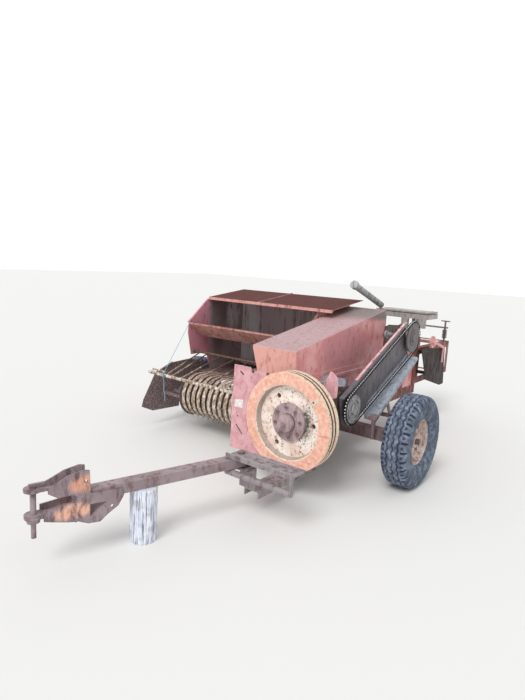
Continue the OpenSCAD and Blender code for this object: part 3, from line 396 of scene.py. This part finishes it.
# --- Gearbox and knotters ---------------------------------------------------------------
# Cast iron housings and cams under old oil and dust.
oily_iron = weathered("oily_cast_iron", "#5b5552", "#6e6762", "#6a4f43", "#3c312c", 0.55, size=0.05,
                      gloss=0.6)
dress(oily_iron, "gearbox", "flywheel_spindle", "knotter_frame", "knotters")

# --- Feeder -----------------------------------------------------------------------------
# Thin red sheet with turned lips. The back wall has gone grey and shows runs of damp.
# The dark brown tint on what looks up, here and on the tray, is partly painted shade.
feeder_red_and_painted_shade = weathered("feeder_red_enamel_and_painted_shade", "#cf918b", "#d9a5a0", "#7c4f46", "#48302b", 0.36,
                       size=0.04, top="#4a2d2b", scuffs=0.2, edge_glint="#f0b8a4", gloss=0.85,
                       shine=0.05)
# The tray's paint is darker than the hood's, as painted shade on its sloping front.
tray_red_and_painted_shade = weathered("feeder_tray_enamel_and_painted_shade", "#ba8880", "#c4958e", "#7c4f46", "#48302b", 0.40,
                     size=0.04, top="#4a2d2b", scuffs=0.3, edge_glint="#f0b8a4", gloss=0.85,
                     shine=0.05)
# The end's pale pink is lighter than its paint, as painted light where the tray shades it.
end_red_and_painted_light = weathered("feeder_end_enamel_and_painted_light", "#e69eae", "#dea0b0", "#ab7072", "#7a5256", 0.32,
                    size=0.03, scuffs=0.4, edge_glint="#f0b8a4",
                    zones=[((-2.18, -1.8, 1.05), (2.0, 4.0, 4.0), "#bcb0b4", 0.01),
                           ((-0.33, -1.8, 1.1), (0.12, 0.3, 0.5), "#8e8486", 0.8),
                           ((-0.56, -1.8, 1.03), (0.09, 0.3, 0.14), "#eceef2", 1.0)],
                    zone_side=(0, 1, 0))
# Its front tint is the wall's own grey, made lighter as painted light in the recess.
damp_grey_and_painted_light = weathered("damp_grey_sheet_and_painted_light", "#cf918b", "#d9a5a0", "#9c8482", "#5e5050", 0.38,
                      size=0.06, streak=8.0, front="#d0c6c9",
                      zones=[((-0.72, -1.72, 1.0), (0.3, 0.16, 0.5), "#f4f2f3", 1.0)],
                      zone_side=(1, 0, 0))
dress(feeder_red_and_painted_shade, "feeder_top_hood", "feeder_left_end")
dress(tray_red_and_painted_shade, "feeder_tray")
dress(end_red_and_painted_light, "feeder_right_end")
dress(damp_grey_and_painted_light, "feeder_back_wall")

# --- Pickup and windguard ---------------------------------------------------------------
# Stripper bands of spring steel and a tubular windguard, in cream paint that is flaking off.
# The zone paints the windguard's rear part dark brown, as painted shade under the feeder.
flaking_cream_and_painted_shade = weathered("flaking_cream_paint_and_painted_shade", "#dccfbe", "#efe6d8", "#8f6f5c", "#52423a", 0.58,
                          size=0.02,
                          zones=[((-0.15, -1.0, 0.75), (0.52, 2.0, 2.0), "#4f4340", 0.1)])
band_steel = weathered("worn_band_steel", "#dccfba", "#efe5d3", "#987a67", "#57443d", 0.58,
                       size=0.02, top="#d0b9ae")
dress(flaking_cream_and_painted_shade, "windguard")
dress(band_steel, "pickup_bands")
divider_rust = weathered("dark_divider_rust", "#84767a", "#776b6e", "#7d625c", "#4a4042", 0.55,
                         size=0.015, scuffs=0.9)
dress(divider_rust, "crop_divider")

# --- Flywheel ---------------------------------------------------------------------------
# A heavy casting: its flat ring has rusted a light orange, its dished disc and its grooved rim
# keep a cream coat. Grease has run out of the hub, and a fine crack crosses the ring.
flywheel_radius = (fly_hi[2] - fly_lo[2]) / 2
ring_width = 0.086
ring_inside = flywheel_radius - ring_width
grease_middle, grease_half = (0.120, 0.006), (0.062, 0.115)
crack_drop = 0.014
groove_start, groove_reach = 0.020, 0.020
hub_rust = weathered("brown_hub_rust", "#ab9397", "#bea9ac", "#8f7472", "#604d4e", 0.46, size=0.05,
                     scuffs=0.4, edge_glint="#d3c4c6",
                     zones=[((0.904, 0.0, 0.534), (0.0062, 2.0, 2.0), "#6d4b4f", 0.02)])
dress(hub_rust, "flywheel_hub")


def flywheel_finish():
    """Zones by the distance from the axis, sqrt(y^2 + z^2), each with its own coat and specks."""
    m, tree, surface = material("zoned_flywheel_casting")
    where = add(tree, "TexCoord").outputs["Object"]
    centred = add(tree, "Mapping", {"Vector": where, "Scale": (0.0, 1.0, 1.0),
                                    "Location": (0.0, -fly_centre[1], -fly_centre[2])}).outputs[0]
    radius = add(tree, "VectorMath", {0: centred}, operation="LENGTH").outputs["Value"]
    along = add(tree, "SeparateXYZ", {0: centred})
    facing = add(tree, "SeparateXYZ",
                 {0: add(tree, "NewGeometry").outputs["True Normal"]}).outputs["X"]
    broad = add(tree, "TexNoise",
                {"Vector": where, "Scale": 9.0, "Detail": 6.0, "Roughness": 0.65}).outputs["Fac"]
    middle = add(tree, "TexNoise",
                 {"Vector": where, "Scale": 34.0, "Detail": 7.0, "Roughness": 0.7}).outputs["Fac"]
    fine = add(tree, "TexNoise",
               {"Vector": where, "Scale": 190.0, "Detail": 4.0, "Roughness": 0.7}).outputs["Fac"]
    ring = add(tree, "ValToRGB", {"Fac": middle},
               [(0.30, "#d9957a"), (0.70, "#fbd8c8"), (0.5, "#efb8a2")])
    disc = add(tree, "ValToRGB", {"Fac": broad},
               [(0.36, "#e8cfc2"), (0.62, "#fff7ee"), (0.5, "#fbeade")])
    rim = add(tree, "ValToRGB", {"Fac": middle},
              [(0.34, "#b39680"), (0.62, "#fbf2da"), (0.48, "#e6d6bb")])
    speck = add(tree, "Math", {0: fine, 1: 0.55, 2: middle}, operation="MULTIPLY_ADD").outputs[0]
    speck = add(tree, "MapRange", {"Value": speck, "From Min": 0.83, "From Max": 0.90}).outputs[0]
    marked = add(tree, "Mix", {"Factor": speck, "A": disc.outputs[0], "B": linear("#8f6350")},
                 data_type="RGBA")
    warped = add(tree, "Math", {0: middle, 1: 0.012, 2: radius},
                 operation="MULTIPLY_ADD").outputs[0]
    on_ring = add(tree, "MapRange", {"Value": warped, "From Min": ring_inside + 0.004,
                                     "From Max": ring_inside + 0.009}).outputs[0]
    face = add(tree, "Mix", {"Factor": on_ring, "A": marked.outputs[2], "B": ring.outputs[0]},
               data_type="RGBA")
    # grease: inside an ellipse beside the hub, with a noisy edge
    (y, z), (half_y, half_z) = grease_middle, grease_half
    to_grease = add(tree, "Mapping", {"Vector": centred, "Scale": (0.0, 1 / half_y, 1 / half_z),
                                      "Location": (0.0, -y / half_y, -z / half_z)}).outputs[0]
    far = add(tree, "VectorMath", {0: to_grease}, operation="LENGTH").outputs["Value"]
    far = add(tree, "Math", {0: middle, 1: 3.4, 2: far}, operation="MULTIPLY_ADD").outputs[0]
    grease = add(tree, "MapRange",
                 {"Value": far, "From Min": 2.9, "From Max": 2.3, "To Max": 0.95}).outputs[0]
    smear = add(tree, "ValToRGB", {"Fac": middle}, [(0.50, "#453e3b"), (0.68, "#cdc1b6")])
    face = add(tree, "Mix", {"Factor": grease, "A": face.outputs[2], "B": smear.outputs[0]},
               data_type="RGBA")
    # the crack: a line about 2 mm wide across the ring's left side, a little under the axis
    level_off = add(tree, "Math", {0: middle, 1: 0.02, 2: along.outputs["Z"]},
                    operation="MULTIPLY_ADD").outputs[0]
    level_off = add(tree, "Math", {0: level_off, 1: crack_drop}, operation="ADD").outputs[0]
    level_off = add(tree, "Math", {0: level_off}, operation="ABSOLUTE").outputs[0]
    line = add(tree, "MapRange",
               {"Value": level_off, "From Min": 0.0016, "From Max": 0.0006}).outputs[0]
    outer = add(tree, "MapRange", {"Value": along.outputs["Y"], "From Min": ring_inside,
                                   "From Max": ring_inside + 0.01}).outputs[0]
    line = add(tree, "Math", {0: line, 1: outer}, operation="MULTIPLY").outputs[0]
    face = add(tree, "Mix", {"Factor": line, "A": face.outputs[2], "B": linear("#7a5344")},
               data_type="RGBA")
    ahead_share = add(tree, "MapRange",
                      {"Value": facing, "From Min": 0.3, "From Max": 0.6}).outputs[0]
    worn_rim = add(tree, "Mix", {"Factor": speck, "A": rim.outputs[0], "B": linear("#8b6852")},
                   data_type="RGBA")
    # the step down to the disc is painted grey, as painted shade on the recess's wall
    step = add(tree, "MapRange", {"Value": radius, "From Min": ring_inside + 0.004,
                                  "From Max": ring_inside - 0.004, "To Max": 0.6}).outputs[0]
    worn_rim = add(tree, "Mix", {"Factor": step, "A": worn_rim.outputs[2], "B": linear("#8d7f82")},
                   data_type="RGBA")
    colour = add(tree, "Mix",
                 {"Factor": ahead_share, "A": worn_rim.outputs[2], "B": face.outputs[2]},
                 data_type="RGBA")
    # darker in the belt grooves: behind the face, and from 2 mm to groove_reach under the rim
    behind = add(tree, "MapRange", {"Value": add(tree, "SeparateXYZ", {0: where}).outputs["X"],
                                    "From Min": fly_hi[0] - groove_start,
                                    "From Max": fly_hi[0] - groove_start - 0.004}).outputs[0]
    sunk = add(tree, "MapRange", {"Value": radius, "From Min": flywheel_radius - 0.0015,
                                  "From Max": flywheel_radius - 0.0035}).outputs[0]
    groove_end = flywheel_radius - groove_reach
    outside = add(tree, "MapRange", {"Value": radius, "From Min": groove_end - 0.004,
                                     "From Max": groove_end}).outputs[0]
    dirt = add(tree, "Math", {0: behind, 1: sunk}, operation="MULTIPLY").outputs[0]
    dirt = add(tree, "Math", {0: dirt, 1: outside}, operation="MULTIPLY").outputs[0]
    colour = add(tree, "Mix", {"Factor": dirt, "A": colour.outputs[2], "B": linear("#4a3a33")},
                 data_type="RGBA")
    tree.links.new(colour.outputs[2], surface.inputs["Base Color"])
    dull = add(tree, "MapRange", {"Value": fine, "From Min": 0.3, "From Max": 0.7, "To Min": 0.62,
                                  "To Max": 0.85}).outputs[0]
    tree.links.new(dull, surface.inputs["Roughness"])
    relief = add(tree, "Math", {0: speck, 1: -0.6, 2: fine}, operation="MULTIPLY_ADD").outputs[0]
    bump = add(tree, "Bump", {"Height": relief, "Strength": 0.5, "Distance": 0.0012})
    tree.links.new(bump.outputs["Normal"], surface.inputs["Normal"])
    return m


dress(flywheel_finish(), "flywheel")
# a balance plate bolted to the ring at its upper left
patch_corners = [(0.1942, 0.7185), (0.2201, 0.6986), (0.2645, 0.742), (0.2428, 0.7584)]
patch_thick, patch_sunk = 0.003, 0.0002
patch_bolt_place, patch_bolt_size, patch_bolt_tall = (0.2133, 0.7224), 0.010, 0.004
patch_paint = weathered("cream_patch", "#d9cbb4", "#e6dccb", "#a8876c", "#7d6350", 0.25, size=0.02)
patch_outline, patch_face = np.array(patch_corners) + shift[1:], fly_hi[0] + patch_thick
mesh_piece("ring_plate", *plate(patch_outline, fly_hi[0] - patch_sunk, patch_face),
           patch_paint, "flywheel_body")
patch_bolt = [patch_face, *(patch_bolt_place + shift[1:])]
mesh_piece("ring_plate_bolt", *bolt_heads([patch_bolt], patch_bolt_size, patch_bolt_tall),
           bolt_steel, "flywheel_body")

# --- Wheels -----------------------------------------------------------------------------
# Pressed steel rims under worn road tyres: three zig-zag grooves between shoulders of blocks,
# all of it bleached to a blue grey.
rim_paint = weathered("rusty_cream_rim", "#c6b2aa", "#dacdc6", "#a5826f", "#5f4a44", 0.46,
                      size=0.02)
dress(rim_paint, "left_rim", "right_rim")
# half of the section from the bead to the crown: share of the wall's height, share of the width
tyre_section = np.array([[-0.10, 0.355], [0.02, 0.425], [0.16, 0.458], [0.36, 0.488], [0.60, 0.498],
                         [0.78, 0.478], [0.90, 0.43], [0.966, 0.366], [0.99, 0.25], [1.0, 0.10]])
tread_depth = 0.009
zigzags, blocks = 36, 30
zigzag_swing = 0.006
# a groove or slot is at its full depth to 0.6 of these from its middle, and gone past 1.6
groove_half, slot_half, pit_radius = 0.0045, 0.007, 0.008
# shares of the width: each groove's middle, where the shoulders begin, and the pits' middle
groove_lines, shoulder_from, pit_at = np.array([-0.21, 0.0, 0.21]), 0.30, 0.355
turn_steps, section_steps = 720, 5


def treaded_tyre(centre, radius, width, bead):
    """A tyre about Y, as a closed grid of turn by section, and each point's painted shade (0 to 1).

    The grooves are the points within a few mm of y = y_k + a tri(n turn), the slots those near
    every step of turn past the shoulders, and a small pit lies in each block. A cut point moves
    by the tread's depth towards the middle of the section.
    """
    marks = np.vstack([tyre_section, (tyre_section * [1, -1])[::-1]])
    section = smooth(marks, section_steps)
    high, side = section[:, 0] * (radius - bead), section[:, 1] * width
    turn = np.arange(turn_steps)[:, None] * 2 * np.pi / turn_steps
    zig = zigzag_swing * np.arcsin(np.sin(zigzags * turn)) * 2 / np.pi
    lines = np.abs(side - groove_lines[:, None, None] * width - zig).min(axis=0)
    groove = np.clip(1.6 - lines / groove_half, 0, 1) * (np.abs(side) < shoulder_from * width)
    place = (blocks * turn / (2 * np.pi) + 0.5 * (side > 0)) % 1 - 0.5
    shoulder = np.clip((np.abs(side) / width - shoulder_from) / 0.02, 0, 1)
    shoulder = shoulder * (high > 0.74 * (radius - bead))
    slot = np.clip(1.6 - np.abs(place) * 2 * np.pi * radius / blocks / slot_half, 0, 1) * shoulder
    block_middle = (np.abs(place) - 0.5) * 2 * np.pi * radius / blocks
    middle = np.hypot(block_middle, np.abs(side) - pit_at * width)
    pit = np.clip(1.8 - middle / pit_radius, 0, 0.8) * shoulder
    cut = np.maximum(np.maximum(groove, slot), pit)
    inward = np.stack([high - 0.45 * (radius - bead), side])
    inward = -inward / np.linalg.norm(inward, axis=0)
    reach = bead + high + tread_depth * cut * inward[0]
    across = side + tread_depth * cut * inward[1]
    points = centre + np.stack([reach * np.cos(turn), across + 0 * turn, reach * np.sin(turn)], -1)
    # painted shade: as deep as the cut, and at least 0.28 on the wall below 0.72 of its height
    shade = np.maximum(cut, 0.28 * (high < 0.72 * (radius - bead)))
    faces = grid_faces(*cut.shape, loop=True)[:, ::-1]
    return points.reshape(-1, 3), faces, shade.ravel()


def rubber_finish():
    """Weathered tyre rubber: blue-grey bloom on what stands proud, and dark, dull cuts."""
    m, tree, surface = material("weathered_tyre_rubber")
    where = add(tree, "TexCoord").outputs["Object"]
    broad = add(tree, "TexNoise",
                {"Vector": where, "Scale": 22.0, "Detail": 6.0, "Roughness": 0.65}).outputs["Fac"]
    fine = add(tree, "TexNoise", {"Vector": where, "Scale": 210.0, "Detail": 3.0}).outputs["Fac"]
    bloom = add(tree, "ValToRGB", {"Fac": broad},
                [(0.34, "#454e5e"), (0.68, "#939fb2"), (0.5, "#616d81")])
    # The attribute holds painted shade: dark in the cuts, a little darker on the lower wall.
    groove_shade = add(tree, "Attribute", attribute_name="cut").outputs["Fac"]
    colour = add(tree, "Mix", {"Factor": groove_shade, "A": bloom.outputs[0], "B": linear("#1f232b")},
                 data_type="RGBA")
    tree.links.new(colour.outputs[2], surface.inputs["Base Color"])
    surface.inputs["Roughness"].default_value = 0.85
    bump = add(tree, "Bump", {"Height": fine, "Strength": 0.4, "Distance": 0.001})
    tree.links.new(bump.outputs["Normal"], surface.inputs["Normal"])
    return m


rubber = rubber_finish()
for side_name, bead_radius in (("left", 0.190), ("right", 0.160)):
    low, high = (np.array(corner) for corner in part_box(side_name + "_tyre"))
    radius, width = (high[2] - low[2]) / 2, high[1] - low[1]
    points, faces, cut = treaded_tyre((low + high) / 2, radius, width, bead_radius)
    tyre = mesh_piece(side_name + "_tyre_tread", points, faces, rubber, side_name + "_wheel",
                      shade_smooth=True)
    # the attribute carries the painted shade from treaded_tyre
    tyre.data.attributes.new("cut", "FLOAT", "POINT").data.foreach_set("value", cut)
    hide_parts(side_name + "_tyre")

# --- Knotter drive ----------------------------------------------------------------------
# A roller chain of one-inch pitch runs round two plate sprockets, over a plain galvanised
# trough: rollers on pins, with pairs of inner and of outer side plates in turn.
galvanised = weathered("dull_galvanised_sheet", "#9fa7b5", "#b1b9c5", "#857c7d", "#55504f", 0.40,
                       size=0.03,
                       zones=[((0.042, 0.235, 0.36), (0.06, 0.06, 0.16), "#8a7274", 0.02)])
# The zone makes the upper sprocket darker, as painted shade.
sprocket_steel = weathered("worn_sprocket_steel", "#a5a7ac", "#b8babd", "#7c6c68", "#4c4644", 0.42,
                           size=0.03,
                           zones=[((-0.68, 0.2, 1.02), (0.2, 0.2, 0.2), "#747276", 0.1)])
# The guard's dark grey is partly painted shade; the first two zones paint parts of it that grey.
guard_paint_and_painted_shade = weathered("two_tone_guard_paint_and_painted_shade", "#6a686f", "#757278", "#70584f", "#484040", 0.36,
                        size=0.04, top="#f9c0c3",
                        zones=[((1.25, 0.18, 0.6), (1.0, 0.6, 1.0), "#6a686f", 0.01),
                               ((-0.2, 0.676, 0.8), (3.0, 0.5, 3.0), "#6a686f", 0.005),
                               ((0.402, -0.02, 0.762), (0.09, 0.17, 0.09), "#a4a7b1", 0.05)])
dress(galvanised, "chain_trough")
dress(sprocket_steel, "lower_sprocket", "upper_sprocket", "lever_tube")
dress(guard_paint_and_painted_shade, "chain_guard")
# x, z and pitch radius of each sprocket, and the chain's middle plane
lower_wheel, upper_wheel = (0.337, 0.565, 0.120), (-0.680, 1.020, 0.140)
chain_middle = 0.200
pitches = 120
# radius, and how far each reaches from the middle plane; then the plates' two y on each side
roller, pin = (0.0056, 0.0046), (0.0044, 0.0120)
inner_plates = [(-0.0096, -0.0081), (0.0081, 0.0096)]
outer_plates = [(-0.0113, -0.0098), (0.0098, 0.0113)]
plate_end = 0.0068


def chain_pins(low, high, count):
    """Pins in the X-Z plane at equal steps s round two pitch circles and their outer tangents.

    The radius to the chain turns by s / r on each circle and stays put on the straight runs,
    which lean by asin((r1 - r0) / d) from the line of centres; a run adds its own length.
    """
    (x0, z0, r0), (x1, z1, r1) = low, high
    d, lean = np.hypot(x1 - x0, z1 - z0), np.arctan2(z1 - z0, x1 - x0)
    b = np.arcsin((r1 - r0) / d)
    run, arc0, arc1 = d * np.cos(b), r0 * (np.pi - 2 * b), r1 * (np.pi + 2 * b)
    s = np.arange(count) / count * (arc0 + arc1 + 2 * run)
    turn = lean + np.pi / 2 + b + np.clip(s, 0, arc0) / r0 + np.clip(s - arc0 - run, 0, arc1) / r1
    first = (s < arc0 + run)[:, None]
    centre, radius = np.where(first, [x0, z0], [x1, z1]), np.where(first, r0, r1)
    out = np.column_stack([np.cos(turn), np.sin(turn)])
    on = np.column_stack([-np.sin(turn), np.cos(turn)])
    gone = np.where(first[:, 0], np.clip(s - arc0, 0, run), np.clip(s - arc0 - run - arc1, 0, run))
    return centre + radius * out + gone[:, None] * on


def prisms(outline, spans, centres, headings):
    """Closed prisms: centre + u heading + v normal in the X-Z plane, between each span's two y."""
    n, spans = len(outline), np.asarray(spans, float)
    normals = np.column_stack([-headings[:, 1], headings[:, 0]])
    flat = centres[:, None] + outline[:, :1] * headings[:, None] + outline[:, 1:] * normals[:, None]
    m, q = len(centres), len(spans)
    points = np.empty((m, q, 2, n, 3))
    points[..., 0], points[..., 2] = flat[:, None, None, :, 0], flat[:, None, None, :, 1]
    points[..., 1] = spans[None, :, :, None]
    one = [[k, n + k, n + (k + 1) % n, (k + 1) % n] for k in range(n)]
    one += [list(range(n)), list(range(2 * n - 1, n - 1, -1))]
    faces = [[i + 2 * n * copy for i in face] for copy in range(m * q) for face in one]
    return points.reshape(-1, 3), faces


def circle(radius, sides):
    """Corners of a regular polygon on a circle."""
    t = np.arange(sides) * 2 * np.pi / sides
    return radius * np.column_stack([np.cos(t), np.sin(t)])


pins = chain_pins(lower_wheel, upper_wheel, pitches)
heading = np.roll(pins, -1, axis=0) - pins
pitch = np.linalg.norm(heading, axis=1)
heading /= pitch[:, None]
half_way = (pins + np.roll(pins, -1, axis=0)) / 2
lobe = np.radians(np.linspace(-125, 125, 7))
lobe = plate_end * np.column_stack([np.cos(lobe), np.sin(lobe)]) + [pitch.mean() / 2, 0]
link_plate = np.vstack([lobe, -lobe])
parts = [prisms(circle(roller[0], 10), [(-roller[1], roller[1])], pins, heading),
         prisms(circle(pin[0], 8), [(-pin[1], pin[1])], pins, heading),
         prisms(link_plate, inner_plates, half_way[1::2], heading[1::2]),
         prisms(link_plate, outer_plates, half_way[::2], heading[::2])]
chain_points = np.vstack([points for points, _ in parts]) + [0, chain_middle, 0] + shift
starts = np.cumsum([0] + [len(points) for points, _ in parts])
chain_faces = [[i + start for i in face]
               for start, (_, faces) in zip(starts, parts) for face in faces]


def chain_finish():
    """Rollers near white by an attribute, as a painted highlight, between oily dark side plates."""
    m, tree, surface = material("oiled_roller_chain")
    where = add(tree, "TexCoord").outputs["Object"]
    grime = add(tree, "TexNoise", {"Vector": where, "Scale": 90.0, "Detail": 4.0}).outputs["Fac"]
    plates = add(tree, "ValToRGB", {"Fac": grime}, [(0.35, "#141314"), (0.68, "#2f2c2b")])
    bright = add(tree, "ValToRGB", {"Fac": grime}, [(0.30, "#c9c8c8"), (0.58, "#f7f9fb")])
    worn = add(tree, "Attribute", attribute_name="worn").outputs["Fac"]
    colour = add(tree, "Mix", {"Factor": worn, "A": plates.outputs[0], "B": bright.outputs[0]},
                 data_type="RGBA")
    tree.links.new(colour.outputs[2], surface.inputs["Base Color"])
    surface.inputs["Roughness"].default_value = 0.75
    surface.inputs["Specular IOR Level"].default_value = 0.15
    return m


chain = mesh_piece("roller_chain", chain_points, chain_faces, chain_finish(), "machine")
# 1 on the rollers, the painted highlight, and 0 on pins and plates
worn = np.repeat([1.0, 0.0, 0.0, 0.0], [len(points) for points, _ in parts])
chain.data.attributes.new("worn", "FLOAT", "POINT").data.foreach_set("value", worn)
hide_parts("drive_chain")

# --- Twine box --------------------------------------------------------------------------
# A shallow grey tray with a plank lid, over the knotters.
plank = weathered("grey_plank", "#a69f9c", "#b8b2ae", "#887e79", "#5f5752", 0.4, size=0.05,
                  streak=1.0)
dress(plank, "twine_box", "twine_box_lid")

# --- Drawbar and hitch ------------------------------------------------------------------
# A box section gone purple-brown all over, and a forged fork with orange rust on its ends.
drawbar_rust = weathered("purple_brown_rust", "#a5959a", "#96868a", "#8d6f6c", "#5c4a4c", 0.44,
                         size=0.05, scuffs=0.3, edge_glint="#d6c8cb")
hitch_rust = weathered("purple_hitch_rust", "#958489", "#a39498", "#80696a", "#50434a", 0.46,
                       size=0.04,
                       zones=[((2.284, -0.299, 0.432), (0.075, 0.09, 0.045), "#dea48e", 0.7),
                              ((2.335, -0.314, 0.292), (0.095, 0.09, 0.040), "#f0b9a2", 0.7)])
dress(drawbar_rust, "drawbar")
dress(hitch_rust, "hitch_fork", "hitch_pin")

# --- Log --------------------------------------------------------------------------------
# A sawn length of trunk that the drawbar rests on, silvered by weather, with splits that open
# down its side and run to the middle of its top.
log_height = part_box("support_log")[1][2]
log_middle = (shift + [1.930, -0.250, 0.0])[:2]
log_radius, log_steps = 0.080, 240
# turn, opening half width in radians and depth in metres of each split
splits = np.array([[0.35, 0.035, 0.016], [1.10, 0.020, 0.010], [1.75, 0.045, 0.020],
                   [2.60, 0.022, 0.010], [3.60, 0.040, 0.016], [4.70, 0.025, 0.012],
                   [5.55, 0.030, 0.014]])


def split_log(height):
    """A closed grid of turn by profile: up the side, then over the top towards the middle.

    The side's radius is r (1 + 0.03 sin 3t + 0.02 cos 5t), less each split's depth times
    exp(-(t - t_k)^2 / w_k^2); the top drops along the same lines, less and less to the middle.
    """
    t = np.arange(log_steps) * 2 * np.pi / log_steps
    off = (t[:, None] - splits[:, 0] + np.pi) % (2 * np.pi) - np.pi
    notch = (splits[:, 2] * np.exp(-(off / splits[:, 1]) ** 2)).sum(axis=1)
    turned = t - np.radians(20)
    round_shape = log_radius * (1 + 0.03 * np.sin(3 * turned) + 0.02 * np.cos(5 * turned))
    z = np.concatenate([[0.0], np.linspace(0.004, height - 0.005, 26), [height - 0.0015]])[:, None]
    waver = 0.0018 * np.sin(9 * t + 30 * z) * np.sin(17 * z / height + 2 * t)
    side = round_shape - 0.003 + waver - notch * (0.55 + 0.45 * z / height)
    side[[0, -1]] -= 0.002
    inner = np.array([0.93, 0.78, 0.6, 0.42, 0.24, 0.08])[:, None]
    radius = np.vstack([side, (round_shape - 0.005 - 0.6 * notch) * inner])
    up = np.vstack([z + 0 * t, height - 0.4 * notch * inner ** 0.5])
    x, y = log_middle[0] + radius * np.cos(t), log_middle[1] + radius * np.sin(t)
    points = np.stack([x, y, up], -1)
    rows = len(radius)
    faces = grid_faces(rows, len(t)).tolist()
    faces += [list(range(len(t) - 1, -1, -1)), list(range((rows - 1) * len(t), rows * len(t)))]
    return points.reshape(-1, 3), faces


def wood_finish():
    """Silvered wood: noise drawn out along Z with dark checks, and rings sin(900 r) on the top."""
    m, tree, surface = material("silvered_wood")
    where = add(tree, "TexCoord").outputs["Object"]
    along = add(tree, "Mapping", {"Vector": where, "Scale": (1.0, 1.0, 0.05)}).outputs[0]
    grain = add(tree, "TexNoise",
                {"Vector": along, "Scale": 130.0, "Detail": 6.0, "Roughness": 0.62}).outputs["Fac"]
    broad = add(tree, "TexNoise", {"Vector": where, "Scale": 16.0, "Detail": 4.0}).outputs["Fac"]
    centred = add(tree, "Mapping", {"Vector": where, "Scale": (1.0, 1.0, 0.0),
                                    "Location": (-log_middle[0], -log_middle[1], 0.0)}).outputs[0]
    radius = add(tree, "VectorMath", {0: centred}, operation="LENGTH").outputs["Value"]
    rings = add(tree, "Math", {0: broad, 1: 0.02, 2: radius}, operation="MULTIPLY_ADD").outputs[0]
    rings = add(tree, "Math", {0: rings, 1: 900.0}, operation="MULTIPLY").outputs[0]
    rings = add(tree, "Math", {0: rings}, operation="SINE").outputs[0]
    rings = add(tree, "MapRange",
                {"Value": rings, "From Min": -1.0, "To Min": 0.38, "To Max": 0.62}).outputs[0]
    looks_up = add(tree, "SeparateXYZ",
                   {0: add(tree, "NewGeometry").outputs["True Normal"]}).outputs["Z"]
    looks_up = add(tree, "MapRange",
                   {"Value": looks_up, "From Min": 0.6, "From Max": 0.8}).outputs[0]
    lines = add(tree, "Mix", {"Factor": looks_up, "A": grain, "B": rings},
                data_type="FLOAT").outputs[0]
    colour = add(tree, "ValToRGB", {"Fac": lines},
                 [(0.36, "#74788a"), (0.58, "#f4f7ff"), (0.46, "#d0d8ea")])
    stain = add(tree, "MapRange",
                {"Value": broad, "From Min": 0.5, "From Max": 0.75, "To Max": 0.55}).outputs[0]
    colour = add(tree, "Mix", {"Factor": stain, "A": colour.outputs[0], "B": linear("#8d867f")},
                 data_type="RGBA")
    tree.links.new(colour.outputs[2], surface.inputs["Base Color"])
    surface.inputs["Roughness"].default_value = 0.9
    bump = add(tree, "Bump", {"Height": grain, "Strength": 0.7, "Distance": 0.003})
    tree.links.new(bump.outputs["Normal"], surface.inputs["Normal"])
    return m


log = mesh_piece("split_log", *split_log(log_height), wood_finish(), "machine", shade_smooth=True)
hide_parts("support_log")

# --- Floor, sky and lamp ----------------------------------------------------------------
# A pale floor under an even white sky, with one wide soft lamp from the front left.
floor_half = 40.0
corners = np.array([(-1, -1, 0), (1, -1, 0), (1, 1, 0), (-1, 1, 0)]) * floor_half
floor = bpy.data.objects.new("floor", bpy.data.meshes.new("floor"))
floor.data.from_pydata(corners.tolist(), [], [(0, 1, 2, 3)])
bpy.context.scene.collection.objects.link(floor)
floor_paint, tree, surface = material("studio_floor")
surface.inputs["Base Color"].default_value = linear("#e8e8e6")
surface.inputs["Roughness"].default_value = 0.9
floor.data.materials.append(floor_paint)

# what the sky sheds on things, and what it shows to the camera, in glints and through glass
sky_light, sky_seen = 0.74, 1.0
world = bpy.data.worlds.new("studio_sky")
bpy.context.scene.world = world
world.use_nodes = True
sky = world.node_tree
sky.nodes.clear()
path = add(sky, "LightPath").outputs
seen = add(sky, "Math", {0: path["Is Camera Ray"], 1: path["Is Glossy Ray"]}, operation="MAXIMUM")
seen = add(sky, "Math", {0: seen.outputs[0], 1: path["Is Transmission Ray"]}, operation="MAXIMUM")
strength = add(sky, "MapRange", {"Value": seen.outputs[0], "To Min": sky_light, "To Max": sky_seen})
white = add(sky, "Background", {"Color": (1.0, 1.0, 1.0, 1.0), "Strength": strength.outputs[0]})
add(sky, "OutputWorld", {"Surface": white.outputs[0]})

sun = bpy.data.objects.new("soft_lamp", bpy.data.lights.new("soft_lamp", "SUN"))
sun.data.energy = 1.6
sun.data.angle = np.radians(25)
sun.rotation_euler = np.radians([42, 0, 100])
bpy.context.scene.collection.objects.link(sun)
